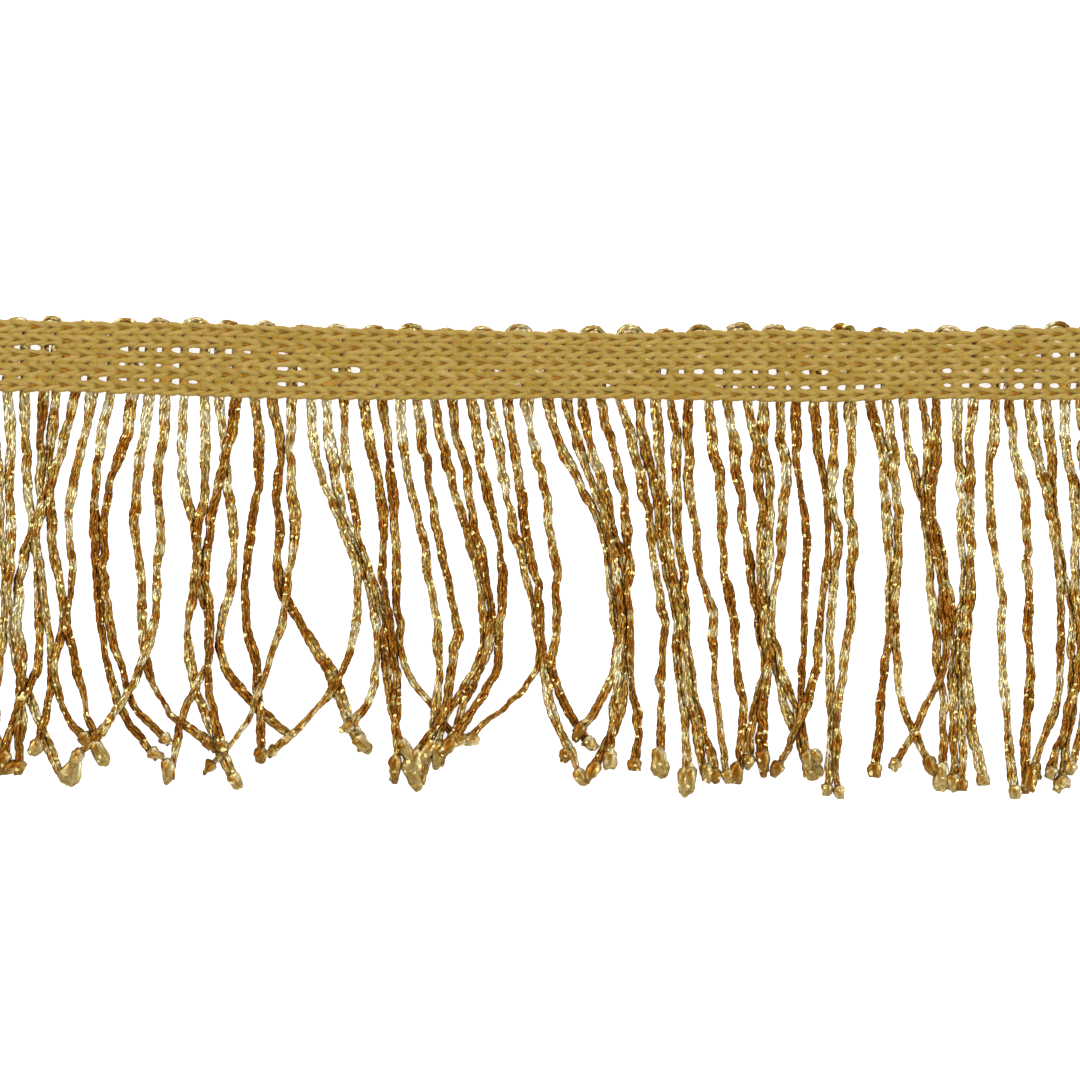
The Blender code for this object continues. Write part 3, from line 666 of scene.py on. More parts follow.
@dataclass(frozen=True)
class NodeBoard:
    """A material's nodes, laid out by short calls."""

    material: bpy.types.Material

    @classmethod
    def named(cls, name: str) -> "NodeBoard":
        """Starts a material.

        Args:
            name: The material's name.

        Returns:
            The board for it.
        """
        material = bpy.data.materials.new(name)
        material.use_nodes = True
        return cls(material)

    @property
    def shader(self) -> bpy.types.Node:
        """The material's Principled shader."""
        return self.material.node_tree.nodes["Principled BSDF"]

    def feed(self, node: bpy.types.Node, values: dict) -> None:
        """Fills a node's input sockets.

        Args:
            node: The node.
            values: For each socket, by name or number, its value or the output that feeds it.
        """
        for socket, value in values.items():
            if isinstance(value, Socket):
                self.material.node_tree.links.new(value, node.inputs[socket])
            else:
                node.inputs[socket].default_value = value

    def node(self, kind: str, values: dict | None = None, **settings: object) -> bpy.types.Node:
        """Adds a node.

        Args:
            kind: The node's type.
            values: What fills its input sockets.
            settings: Its own settings.

        Returns:
            The new node.
        """
        made = self.material.node_tree.nodes.new(kind)
        for name, value in settings.items():
            setattr(made, name, value)
        self.feed(made, values or {})
        return made

    def ramp(self, source: Socket, stops: tuple) -> Socket:
        """Turns a value into a colour.

        Args:
            source: The value.
            stops: Place and colour of each stop.

        Returns:
            The colour.
        """
        made = self.node("ShaderNodeValToRGB", {"Fac": source})
        elements = made.color_ramp.elements
        while len(elements) < len(stops):
            elements.new(0.5)
        for element, (place, colour) in zip(elements, stops):
            element.position = place
            element.color = (*colour, 1.0)
        return made.outputs["Color"]

    def maths(self, way: str, *values: object, kind: str = "ShaderNodeMath") -> Socket:
        """Works on numbers or outputs in Blender's way of that name."""
        return self.node(kind, dict(enumerate(values)), operation=way).outputs[0]

    def sum(self, first: object, second: Socket, share: float) -> Socket:
        """The first value plus a share of the second, less half that share."""
        return self.maths("MULTIPLY_ADD", second, share, self.maths("ADD", first, -share / 2))

    def mapped(self, value: Socket, source: tuple, target: tuple = (0.0, 1.0)) -> Socket:
        """A value mapped from one range to another, and held at its ends."""
        limits = zip(("From Min", "From Max", "To Min", "To Max"), (*source, *target))
        return self.node("ShaderNodeMapRange", {"Value": value, **dict(limits)}).outputs["Result"]

    def mark(self, name: str) -> Socket:
        """The number of that name that is stored at the mesh's points."""
        return self.node("ShaderNodeAttribute", attribute_name=name).outputs["Fac"]

    def blend(self, first: Socket, second: object, share: object, way: str = "MIX") -> Socket:
        """Blends a share of the second colour into the first, in Blender's way of that name."""
        values = {"Factor": share, "A": first, "B": second}
        return self.node("ShaderNodeMix", values, data_type="RGBA", blend_type=way).outputs["Result"]

    def rim_shaded(self, colour: Socket, rim: tuple, reach: float = 0.6) -> Socket:
        """Paints shade on faces that look sideways by multiplying a colour by the rim's.

        Args:
            colour: The colour.
            rim: The colour of the painted shade on the sides.
            reach: How far up a face looks when the rim's colour has gone.

        Returns:
            The product.
        """
        surface = self.node("ShaderNodeNewGeometry")
        parts = self.node("ShaderNodeSeparateXYZ", {"Vector": surface.outputs["Normal"]})
        tint = self.ramp(parts.outputs["Z"], ((0.0, rim), (reach, (1.0, 1.0, 1.0))))
        return self.blend(colour, tint, 1.0, "MULTIPLY")

    def stretched(self, vector: Socket, scale: tuple) -> Socket:
        """A vector scaled along its axes."""
        return self.node("ShaderNodeMapping", {"Vector": vector, "Scale": scale}).outputs["Vector"]

    def noise(self, vector: Socket, grain: tuple, space: str = "3D") -> bpy.types.NodeOutputs:
        """Adds noise.

        Args:
            vector: Where it is read.
            grain: Its lumps in a unit of the vector, its number of finer layers and their strength.
            space: Its number of dimensions.

        Returns:
            The noise's outputs.
        """
        values = {"Vector": vector, **dict(zip(("Scale", "Detail", "Roughness"), grain))}
        return self.node("ShaderNodeTexNoise", values, noise_dimensions=space).outputs

    def facets(self, vector: Socket, scale: float = 1.0, space: str = "3D") -> Socket:
        """A random colour for each cell of an uneven mosaic."""
        values = {"Vector": vector, "Scale": scale}
        return self.node("ShaderNodeTexVoronoi", values, voronoi_dimensions=space).outputs["Color"]

    def glinting(self, base: Socket, facets: Socket, share: float, colour: tuple) -> Socket:
        """Paints highlights: turns a share of the facets to the glints' colour.

        Args:
            base: Colour of the rest.
            facets: The facets' random colours.
            share: How many of them glint.
            colour: Colour of the glints.

        Returns:
            The new colour.
        """
        chance = self.node("ShaderNodeSeparateColor", {"Color": facets}).outputs["Red"]
        picked = self.mapped(chance, (1.0 - share, 1.0 - share / 2))
        return self.blend(base, (*colour, 1.0), picked)

    def bumped(self, height: Socket, strength: float, distance: float, **normal: Socket) -> Socket:
        """A surface's direction with a height's bumps in it.

        Args:
            height: The height.
            strength: How much of it shows.
            distance: Its size in metres.
            normal: The direction before, as Normal, where it isn't the mesh's own.

        Returns:
            The new direction.
        """
        values = {"Height": height, "Strength": strength, "Distance": distance, **normal}
        return self.node("ShaderNodeBump", values).outputs["Normal"]


@dataclass(frozen=True)
class GoldYarn:
    """Matte spun yarn of the knitted rows: gold-tan, with painted orange-brown shade and bounce light in the
    notches.
    """

    # Painted light: the first colour is painted shade and bounce light in the notches, the second painted
    # shade in the valleys and at the rows' sides, the last a painted pale glint of the foil between rows.
    notch_painted_shade: tuple = (0.62, 0.27, 0.012)
    shade: tuple = (0.31, 0.19, 0.022)
    middle: tuple = (0.40, 0.262, 0.052)
    light: tuple = (0.48, 0.33, 0.09)
    painted_foil_glint: tuple = (0.66, 0.53, 0.36)
    stops: tuple = (0.08, 0.30, 0.55, 0.9, 1.25)
    reach: float = 1.3
    clouds: tuple = (1400.0, 4.0, 0.65)
    cloudiness: float = 0.85
    mottles: tuple = (2600.0, 2.0, 0.5)
    mottle: float = 0.45
    roughness: float = 0.78
    twist: float = 20.0
    bump: tuple = (0.5, 0.05 * MM)

    def material(self) -> bpy.types.Material:
        """Builds the material.

        Returns:
            The yarn's material.
        """
        board = NodeBoard.named("heading_yarn")
        place = board.node("ShaderNodeTexCoord").outputs
        cloud = board.noise(place["Object"], self.clouds)["Fac"]
        value = board.sum(board.mark("tone"), cloud, self.cloudiness)
        colours = (self.notch_painted_shade, self.shade, self.middle, self.light, self.painted_foil_glint)
        stops = tuple((stop / self.reach, colour) for stop, colour in zip(self.stops, colours))
        yarn = board.ramp(board.maths("DIVIDE", value, self.reach), stops)
        hue = board.noise(place["Object"], self.mottles)["Color"]
        turn = (0.0, 0.0, math.radians(self.twist))
        plies = board.node("ShaderNodeMapping", {"Vector": place["UV"], "Rotation": turn})
        waves = {"Scale": 2.6, "Distortion": 2.5, "Detail": 2.0, "Detail Scale": 1.5}
        waves["Vector"] = plies.outputs["Vector"]
        fibres = board.node("ShaderNodeTexWave", waves, wave_type="BANDS", bands_direction="Y")
        board.feed(board.shader, {
            "Base Color": board.blend(yarn, hue, self.mottle, "SOFT_LIGHT"),
            "Normal": board.bumped(fibres.outputs["Fac"], *self.bump),
            "Roughness": self.roughness,
            "Sheen Weight": 0.25,
            "Sheen Roughness": 0.4,
            "Specular IOR Level": 0.25,
        })
        return board.material


@dataclass(frozen=True)
class FoilYarn:
    """Metallic foil yarn: dark brown to champagne, with painted glints on a share of its facets.

    Streaks, creases and the cells of the painted glints are stretched along the yarn by the scales of their
    lie.
    """

    stops: tuple = (
        (0.0, (0.18, 0.058, 0.004)),
        (0.28, (0.26, 0.098, 0.008)),
        (0.45, (0.35, 0.19, 0.032)),
        (0.6, (0.47, 0.345, 0.13)),
        (0.8, (0.62, 0.53, 0.31)),
        (1.0, (0.80, 0.73, 0.50)),
    )
    metallic: float = 0.92
    roughness: float = 0.38
    streaks: tuple = (1.0, 2.0, 0.55)
    streak_lie: tuple = (0.55, 1.8, 1.0)
    streakiness: float = 0.65
    crease_lie: tuple = (1.3, 3.0, 1.0)
    crumple: float = 0.4
    # Painted highlights: a share of the glint cells is painted the glint colour.
    glint_lie: tuple = (3.2, 4.0, 1.0)
    glints: float = 0.06
    glint: tuple = (1.0, 0.86, 0.36)
    # Colour of the painted shade on faces that look sideways.
    rim: tuple = (0.46, 0.45, 0.41)
    tints: tuple = (900.0, 2.0, 0.5)
    tint: float = 0.36
    bump: tuple = (0.35, 0.05 * MM)

    def crumpled(self, board: NodeBoard, creases: Socket) -> Socket:
        """The surface's direction, tilted a little by each crease.

        Args:
            board: The material's nodes.
            creases: A random colour for each facet between creases.

        Returns:
            The tilted direction.
        """
        kind = "ShaderNodeVectorMath"
        lie = board.node("ShaderNodeNewGeometry").outputs["Normal"]
        centred = board.maths("ADD", creases, (-0.5, -0.5, -0.5), kind=kind)
        tilted = board.maths("MULTIPLY_ADD", centred, (self.crumple,) * 3, lie, kind=kind)
        return board.maths("NORMALIZE", tilted, kind=kind)

    def material(self) -> bpy.types.Material:
        """Builds the material.

        Returns:
            The foil's material.
        """
        board = NodeBoard.named("foil_yarn")
        place = board.node("ShaderNodeTexCoord").outputs
        streaks = board.noise(board.stretched(place["UV"], self.streak_lie), self.streaks, "2D")["Fac"]
        value = board.sum(board.mark("tone"), streaks, self.streakiness)
        hue = board.noise(place["Object"], self.tints)["Color"]
        foil = board.blend(board.ramp(value, self.stops), hue, self.tint, "SOFT_LIGHT")
        # Painted highlights: cells of which a share is painted the glint colour.
        glint_cells = board.facets(board.stretched(place["UV"], self.glint_lie), space="2D")
        creases = board.facets(board.stretched(place["UV"], self.crease_lie), space="2D")
        lie = self.crumpled(board, creases)
        board.feed(board.shader, {
            "Base Color": board.rim_shaded(board.glinting(foil, glint_cells, self.glints, self.glint), self.rim),
            "Normal": board.bumped(streaks, *self.bump, Normal=lie),
            "Metallic": self.metallic,
            "Roughness": self.roughness,
        })
        return board.material


@dataclass(frozen=True)
class MeltedFoil:
    """Yarn melted to a glassy lump, with flecks of foil left in it, painted glints and painted shade on its
    sides.

    Towards the strand a lump is still foil, and it turns to melt between two shares of its length.
    """

    kind: TipKind
    tone: float
    dark: tuple
    pale: tuple
    fleck: tuple = (0.70, 0.55, 0.25)
    flecks: tuple = (1900.0, 4.0, 0.7)
    stops: tuple = (0.38, 0.62, 0.74)
    streaks: tuple = (1.0, 3.0, 0.65)
    streak_lie: tuple = (7.0, 2.0, 1.0)
    streakiness: float = 1.3
    melts: tuple = (0.35, 0.85)
    unevenness: float = 0.6
    metallic: tuple = (0.9, 0.35)
    roughness: float = 0.45
    # Colour of the painted shade on faces that look sideways.
    rim: tuple = (0.50, 0.50, 0.48)
    glint_cells: float = 2600.0
    glints: float = 0.05
    glint: tuple = (1.0, 0.86, 0.36)
    bump: tuple = (0.5, 0.06 * MM)

    def material(self) -> bpy.types.Material:
        """Builds the material.

        Returns:
            The lump's material.
        """
        board = NodeBoard.named(f"melted_{self.kind.value}")
        place = board.node("ShaderNodeTexCoord").outputs
        flecks = board.noise(place["Object"], self.flecks)["Fac"]
        melted = board.ramp(flecks, tuple(zip(self.stops, (self.dark, self.pale, self.fleck))))
        streaks = board.noise(board.stretched(place["UV"], self.streak_lie), self.streaks, "2D")["Fac"]
        foil = board.ramp(board.sum(self.tone, streaks, self.streakiness), FoilYarn().stops)
        turning = board.mapped(board.sum(board.mark("melt"), streaks, self.unevenness), self.melts)
        mixed = board.blend(foil, melted, turning)
        # Painted highlights: a share of the cells is painted the glint colour.
        glint_cells = board.facets(place["Object"], self.glint_cells)
        board.feed(board.shader, {
            "Base Color": board.rim_shaded(board.glinting(mixed, glint_cells, self.glints, self.glint), self.rim),
            "Normal": board.bumped(flecks, *self.bump),
            "Metallic": board.mapped(turning, (0.0, 1.0), self.metallic),
            "Roughness": self.roughness,
            "Specular IOR Level": 0.2,
        })
        return board.material


@dataclass(frozen=True)
class RowTone:
    """A knitted row's tone, in shares of its height, its half width and its pitch.

    Painted shade deepens it below the crest, most in the wedge between a stitch's legs, and at the row's
    sides. Painted pale glints of the foil show beside some of the stitches' ends, least at the trim's left.
    """

    level: float = 0.6
    # Painted shade: how far the tone darkens below the crest, in the valleys and wedges, and at the rows'
    # sides.
    crest: tuple = (0.82, 0.60)
    valley_shade: float = 0.08
    wedge: float = 0.42
    wedge_shade: float = 0.55
    sides: tuple = (0.66, 0.94)
    row_side_shade: float = 0.24
    # Painted pale glints of the foil beside some of the stitches' ends.
    glimmer: float = 1.5
    glimmer_draws: tuple = (-0.5, 1.0)
    glimmer_place: float = 0.3
    glimmer_reach: tuple = (0.196, 0.056)
    glimmer_sides: tuple = (0.72, 0.82)
    left_glimmer: float = 0.45
    left_steps: tuple = (400.0, 700.0)

    def shaded(self, aside: np.ndarray, height: np.ndarray, tones: np.ndarray) -> np.ndarray:
        """Paints shade into the tone in the wedges between a stitch's legs and a little at the row's sides.

        Args:
            aside: How far each point of the row is from its middle line.
            height: How high it is.
            tones: Its tone.

        Returns:
            Their new tones.
        """
        # Painted shade below the crest, deepest in the wedges, and at the row's sides.
        wedge = rise(aside, self.wedge, 0.0) ** 0.5
        depth = rise(height, *self.crest) * (self.wedge_shade * wedge + self.valley_shade)
        return tones - depth - self.row_side_shade * rise(aside, *self.sides) * (1.0 - wedge)

    def foil_glints(
        self, along: np.ndarray, aside: np.ndarray, spots: np.ndarray, rng: np.random.Generator
    ) -> np.ndarray:
        """How much painted pale glint of the foil shows beside the end of each stitch.

        Args:
            along: Steps along the trim of each point of the row.
            aside: How far it is above the row's middle line.
            spots: Middles of the stitches, rising.
            rng: Source of which ends show it.

        Returns:
            What it adds to the tone at each point.
        """
        phase = np.interp(along, spots, np.arange(len(spots))) + self.glimmer_place
        nearest = np.clip(np.round(phase).astype(int), 0, len(spots) - 1)
        draws = rng.uniform(*self.glimmer_draws, (2, len(spots))).clip(0.0)
        shows = draws[(aside > 0).astype(int), nearest]
        shows *= self.left_glimmer + (1.0 - self.left_glimmer) * rise(along, *self.left_steps)
        shows *= rise(np.abs(phase - nearest), *self.glimmer_reach)
        return self.glimmer * shows * rise(np.abs(aside), *self.glimmer_sides)


@dataclass
class Heading:
    """The knitted band: five rows of chain stitch over the weft."""

    chart: Chart
    tone: RowTone = RowTone()
    row_shares: tuple = (1.0, 0.767, 0.524, 0.263, 0.0)
    edge_inset: tuple = (5.9, 6.3)
    squeeze: float = 1.4
    half_stitch: float = 7.0
    stitch_shift: float = -3.0
    row_lean: float = 0.9
    middle_row: int = 3
    bare_end: float = 8
    hole_growth: float = 1.25
    hole_margin: float = 1.5
    height: float = 1.85 * MM
    route_samples: int = 600
    first_seed: int = 100
    bar_line: tuple = tuple(LegPoint(0.45 * n, 0.0, -0.34) for n in range(-2, 3))
    leg_line: tuple = (
        LegPoint(-0.72, 0.12, -0.22), LegPoint(-0.45, 0.19, 0.20), LegPoint(-0.10, 0.32, 0.46),
        LegPoint(0.18, 0.55, 0.52), LegPoint(0.44, 0.67, 0.52), LegPoint(0.72, 0.69, 0.40),
        LegPoint(0.98, 0.67, 0.12), LegPoint(1.22, 0.60, -0.24),
    )
    leg_radii: tuple = (0.22, 0.33, 0.38, 0.41, 0.42, 0.43, 0.42, 0.40, 0.38, 0.36, 0.33, 0.27, 0.16)
    bar_radii: tuple = (0.20, 0.46, 0.58, 0.62, 0.58, 0.46, 0.20)

    def lower(self, along: np.ndarray) -> np.ndarray:
        """The lower edge, in steps across."""
        return smooth_through([e.along for e in EDGES], [e.lower for e in EDGES], along)

    def upper(self, along: np.ndarray) -> np.ndarray:
        """The upper edge, in steps across."""
        return smooth_through([e.along for e in EDGES], [e.upper for e in EDGES], along)

    def centre(self, row: int, along: np.ndarray) -> np.ndarray:
        """Middle line of a row.

        Args:
            row: Its number, from 1 at the free edge.
            along: Places along the trim, in steps.

        Returns:
            The line's places in steps across.
        """
        top = self.upper(along) - self.edge_inset[0]
        bottom = self.lower(along) + self.edge_inset[1]
        return bottom + (top - bottom) * self.row_shares[row - 1]

    def opening(self, row: int, along: np.ndarray) -> np.ndarray:
        """Height of the see-through openings below a row.

        Args:
            row: The row's number.
            along: Places along the trim, in steps.

        Returns:
            The height in steps, less than nothing where the knit is closed.
        """
        gap = np.full(np.shape(along), -self.squeeze)
        for hole in HOLES:
            if hole.row == row:
                off = (along - hole.along) / (hole.width * self.hole_growth / 2 + self.hole_margin)
                dome = np.sqrt(np.clip(1.0 - off * off, 0.0, None))
                gap = np.maximum(gap, dome * (hole.height + self.squeeze) - self.squeeze)
        return gap

    def half_width(self, row: int, along: np.ndarray, side: float) -> np.ndarray:
        """How far a row reaches above or below its middle line.

        Args:
            row: The row's number.
            along: Places along the trim, in steps.
            side: 1 for above, -1 for below.

        Returns:
            The distance in steps.
        """
        if side > 0 and row == 1:
            return np.full(np.shape(along), self.edge_inset[0])
        if side < 0 and row == len(self.row_shares):
            return np.full(np.shape(along), self.edge_inset[1])
        neighbour = row - 1 if side > 0 else row + 1
        apart = np.abs(self.centre(neighbour, along) - self.centre(row, along))
        return (apart - self.opening(min(row, neighbour), along)) / 2

    def toned(self, row: int, stack: MeshStack, spots: np.ndarray, rng: np.random.Generator) -> np.ndarray:
        """The tone at each point of a row, with its painted shade and painted glints of the foil.

        Args:
            row: The row's number.
            stack: Its stitches.
            spots: Their middles, rising.
            rng: Source of the glimmer.

        Returns:
            The tones.
        """
        points = np.concatenate(stack.points)
        along = self.chart.along(points[:, 0])
        aside = points[:, 1] - self.chart.y(self.centre(row, along))
        aside /= self.half_stitch * self.chart.step
        tones = np.concatenate(stack.tones)
        tones = self.tone.shaded(np.abs(aside), points[:, 2] / self.height, tones)
        # Painted pale glints of the foil beside the stitches' ends of the inner rows.
        if 1 < row < len(self.row_shares):
            tones += self.tone.foil_glints(along, aside, spots, rng)
        return tones

    def build_row(self, row: int) -> bpy.types.Object:
        """Knits one row of chain stitch, from the right end to the left.

        Args:
            row: Its number, from 1 at the free edge.

        Returns:
            The row's piece.
        """
        chart = self.chart
        rng = np.random.default_rng(self.first_seed + row)
        along = np.linspace(chart.right_end, chart.left_end, self.route_samples)
        middle = self.height / 2
        across = chart.y(self.centre(row, along))
        path = Path(np.column_stack([chart.x(along), across, np.full(len(along), middle)]))

        def reach(run: np.ndarray, side: float) -> np.ndarray:
            """Half width at lengths along the row."""
            return self.half_width(row, np.interp(run, path.run, along), side) * chart.step

        roots = np.array([strand.root for strand in STRANDS], float)
        spots = roots + self.stitch_shift + self.row_lean * (self.middle_row - row)
        inside = (spots > chart.left_end + self.bare_end) & (spots < chart.right_end - self.bare_end)
        spots = spots[inside]
        centres = np.interp(-spots[::-1], -along, path.run)
        legs = Leg(Spindle(sides=14, radii=self.leg_radii), self.leg_line, flatness=0.98)
        bars = Leg(Spindle(sides=8, radii=self.bar_radii), self.bar_line)
        half_width = self.half_stitch * chart.step
        chain = Chain(legs, bars, half_width, middle, unevenness=0.035, patchiness=0.08)
        stack = MeshStack()
        chain.knit(stack, path, centres, lambda run: np.full(run.shape, self.tone.level), rng, reach)
        stack.tones = [self.toned(row, stack, spots, rng)]
        return stack.finished(f"stitch_row_{row}")

    def build(self) -> list:
        """Knits all rows, top to bottom.

        Returns:
            Their pieces.
        """
        finish = GoldYarn().material()
        rows = []
        for row in range(1, len(self.row_shares) + 1):
            piece = self.build_row(row)
            dress(piece, finish, "heading" if row < len(self.row_shares) else "fringe")
            rows.append(piece)
        return rows


@dataclass
class FoilChain:
    """The chainette that strands and weft are made of.

    Slimming gives its girth at some shares of its length, as places and girths.
    """

    pitch: float = 1.4 * MM
    half_width: float = 0.75 * MM
    half_depth: float = 0.48 * MM
    leg_line: tuple = (
        LegPoint(-0.62, 0.10, -0.20), LegPoint(-0.30, 0.24, 0.16), LegPoint(0.04, 0.38, 0.34),
        LegPoint(0.42, 0.47, 0.30), LegPoint(0.84, 0.47, 0.08), LegPoint(1.22, 0.38, -0.26),
    )
    bar_line: tuple = (
        LegPoint(-0.7, 0.0, -0.25), LegPoint(-0.3, 0.0, -0.36), LegPoint(0.3, 0.0, -0.36),
        LegPoint(0.7, 0.0, -0.25),
    )
    leg_radii: tuple = (0.24, 0.44, 0.52, 0.53, 0.51, 0.36)
    bar_radii: tuple = (0.35, 0.60, 0.60, 0.35)
    slimming: tuple = ((0.0, 0.15, 0.3, 0.5, 1.0), (1.08, 1.04, 0.95, 0.91, 0.90))
    lumpiness: float = 0.11
    lump_length: float = 2.5 * MM
    first_stitch: float = 0.6
    end_share: float = 0.4
    stout: tuple = (0.4, 0.8)

    def chain(self) -> Chain:
        """Models the chain's legs.

        Returns:
            The chain.
        """
        legs = Leg(Spindle(sides=6, radii=self.leg_radii), self.leg_line, flatness=0.64)
        bars = Leg(Spindle(sides=5, radii=self.bar_radii), self.bar_line, flatness=0.7)
        return Chain(
            legs, bars, self.half_width, self.half_depth, unevenness=0.06, patchiness=0.07,
            stagger=0.22, side_shade=0.12,
        )

    def knit(
        self,
        chain: Chain,
        stack: MeshStack,
        path: Path,
        tone: Callable,
        rng: np.random.Generator,
        girth: float = 1.0,
    ) -> None:
        """Knits foil stitches along a whole path.

        Args:
            chain: The chain to knit.
            stack: Where the stitches go.
            path: The line that they follow.
            tone: Gives the tone at lengths along the path.
            rng: Source of the unevenness.
            girth: How stout the path's lower half is.
        """
        count = int(path.length / self.pitch)
        centres = (np.arange(count) + self.first_stitch) * path.length / (count + self.end_share)
        share = path.run / path.length
        plumpness = np.interp(share, *self.slimming)
        plumpness += self.lumpiness * drift(rng, path.run, self.lump_length)
        plumpness *= 1.0 + (girth - 1.0) * rise(share, *self.stout)

        def reach(run: np.ndarray, side: float) -> np.ndarray:
            """Half width at lengths along the yarn."""
            return self.half_width * np.interp(run, path.run, plumpness)

        chain.knit(stack, path, centres, tone, rng, reach)


class StrandEnd(NamedTuple):
    """Where a strand ends, and the direction that it runs in there."""

    point: np.ndarray
    ahead: np.ndarray

    @classmethod
    def of(cls, path: Path) -> "StrandEnd":
        """The end of a path."""
        ahead = path.points[-1] - path.points[-4]
        return cls(path.points[-1], ahead / np.linalg.norm(ahead))


@dataclass(frozen=True)
class FoilTone:
    """How the foil's tone changes along a strand: as charted, with its twist, slowly and quickly; partly its
    own tone, partly painted reflection of the twisted foil catching light.
    """

    level: float = 0.46
    fade: float = 0.10
    charted: float = 0.11
    twisted: float = 0.11
    twist: float = 2.6 * MM
    twist_drift: float = 0.12
    slow: float = 0.08
    slow_length: float = 5.0 * MM
    quick: float = 0.085
    quick_length: float = 1.3 * MM

    def along(self, strand: Strand, path: Path, rng: np.random.Generator) -> np.ndarray:
        """The tone at each point of a strand's path.

        Args:
            strand: Its row of the table.
            path: The path of its chain.
            rng: Source of the changes.

        Returns:
            The tones.
        """
        share = path.run / path.length
        charted = smooth_through([0.0, 0.5, 1.0], strand.shade, share)
        # Partly painted reflection: the tone rises and falls with the twist of the foil.
        turned = path.run / self.twist + self.twist_drift * drift(rng, path.run, self.twist)
        waves = np.sin(math.tau * (turned + rng.uniform()))
        slow = drift(rng, path.run, self.slow_length)
        quick = drift(rng, path.run, self.quick_length)
        base = self.level + self.fade * (0.5 - share)
        base = base + self.charted * charted + self.twisted * waves
        return base + self.slow * slow + self.quick * quick


@dataclass
class Fringe:
    """The strands: where each one lies, and its chain of foil yarn."""

    chart: Chart
    heading: Heading
    yarn: FoilChain
    finish: bpy.types.Material
    tone: FoilTone = FoilTone()
    level_drop: float = 6 * MM
    route_samples: int = 240
    spacing: float = 0.3 * MM
    wander: float = 0.11 * MM
    short_wave: float = 1.7 * MM
    long_wave: float = 4.5 * MM
    long_share: float = 0.8
    straight_top: float = 4 * MM
    contact: float = 1.10 * MM
    thickness: float = 0.72 * MM
    steepest: float = 0.5
    softened_points: int = 7
    softness: float = 0.4
    roll: float = 0.42
    roll_length: float = 4.0 * MM
    root_height: float = 0.62 * MM
    root_length: float = 2.0 * MM
    root_inside: tuple = (1.2 * MM, 0.5 * MM)
    group_size: int = 12
    seed: int = 7

    def plan(self, strand: Strand, rng: np.random.Generator) -> np.ndarray:
        """A strand's line in plan, evenly spaced, root to tip.

        Args:
            strand: Its row of the table.
            rng: Source of its small waves.

        Returns:
            Points in plan, in metres.
        """
        chart = self.chart
        level = self.level_drop / chart.step
        falls = [-float(self.heading.lower(strand.root))]
        falls += [level * n for n in range(1, 8)] + [strand.fall]
        places = strand[:len(falls)]
        fine = np.linspace(falls[0], falls[-1], self.route_samples)
        line = np.column_stack([chart.x(smooth_through(falls, places, fine)), chart.y(-fine)])
        length = run_along(line)[-1]
        even = np.linspace(0.0, length, int(length / self.spacing) + 1)
        points = read_along(line, even)
        wave = drift(rng, even, self.short_wave) + self.long_share * drift(rng, even, self.long_wave)
        wave *= self.wander * rise(even, 0.0, self.straight_top)
        ahead = np.gradient(points, axis=0)
        ahead /= np.linalg.norm(ahead, axis=1)[:, None]
        points[:, 0] -= ahead[:, 1] * wave
        points[:, 1] += ahead[:, 0] * wave
        return points

    def lay(self, plans: list) -> list:
        """Lets each strand down on the table and on those laid before it.

        Args:
            plans: Their lines in plan.

        Returns:
            The height of the underside at each point of each line.
        """
        order = sorted(range(len(plans)), key=lambda n: (STRANDS[n].over, n))
        spots, tops = np.empty((0, 2)), np.empty(0)
        rests = [None] * len(plans)
        for number in order:
            points = plans[number]
            near = spots[:, 0] > points[:, 0].min() - self.contact
            near &= spots[:, 0] < points[:, 0].max() + self.contact
            needed = np.zeros(len(points))
            if near.any():
                apart = np.linalg.norm(points[:, None] - spots[near][None], axis=2)
                under = apart < self.contact
                share = np.sqrt(np.clip(1.0 - (apart / self.contact) ** 2, 0.0, 1.0))
                lifts = np.where(under, tops[near][None] - self.thickness * (1.0 - share), 0.0)
                needed = lifts.max(axis=1).clip(0.0)
            step = self.spacing * self.steepest
            for k in range(1, len(needed)):
                needed[k] = max(needed[k], needed[k - 1] - step)
            for k in range(len(needed) - 2, -1, -1):
                needed[k] = max(needed[k], needed[k + 1] - step)
            count = self.softened_points
            soft = np.convolve(np.pad(needed, count // 2, mode="edge"), np.ones(count) / count, mode="valid")
            rests[number] = np.maximum(needed * (1.0 - self.softness) + soft * self.softness, 0.0)
            spots = np.vstack([spots, points])
            tops = np.append(tops, rests[number] + self.thickness)
        return rests

    def path(self, chain: Chain, plan: np.ndarray, rest: np.ndarray, rng: np.random.Generator) -> Path:
        """A strand's line in space, with its yarn rolled a little one way and the other.

        Args:
            chain: The chain that follows it.
            plan: Its line in plan.
            rest: Height of its underside.
            rng: Source of its roll.

        Returns:
            The path of its chain.
        """
        run = np.arange(len(plan)) * self.spacing
        roll = self.roll * drift(rng, run, self.roll_length)
        half = chain.underside(roll)
        height = rest + half
        root = rise(run, self.root_length, 0.0)
        height = height + (self.root_height - half[0]) * root * root * (3 - 2 * root)
        inside = [[plan[0][0], plan[0][1] + depth, self.root_height] for depth in self.root_inside]
        points = np.vstack([inside, np.column_stack([plan, height])])
        return Path(points, np.concatenate([[roll[0]] * len(inside), roll]))

    def build(self) -> tuple:
        """Knits all strands, in groups side by side.

        Returns:
            The groups' pieces, and how each strand ends.
        """
        rng = np.random.default_rng(self.seed)
        plans = [self.plan(strand, rng) for strand in STRANDS]
        rests = self.lay(plans)
        chain = self.yarn.chain()
        pieces, tips = [], []
        for first in range(0, len(STRANDS), self.group_size):
            stack = MeshStack()
            for number in range(first, min(first + self.group_size, len(STRANDS))):
                path = self.path(chain, plans[number], rests[number], rng)
                tones = self.tone.along(STRANDS[number], path, rng)

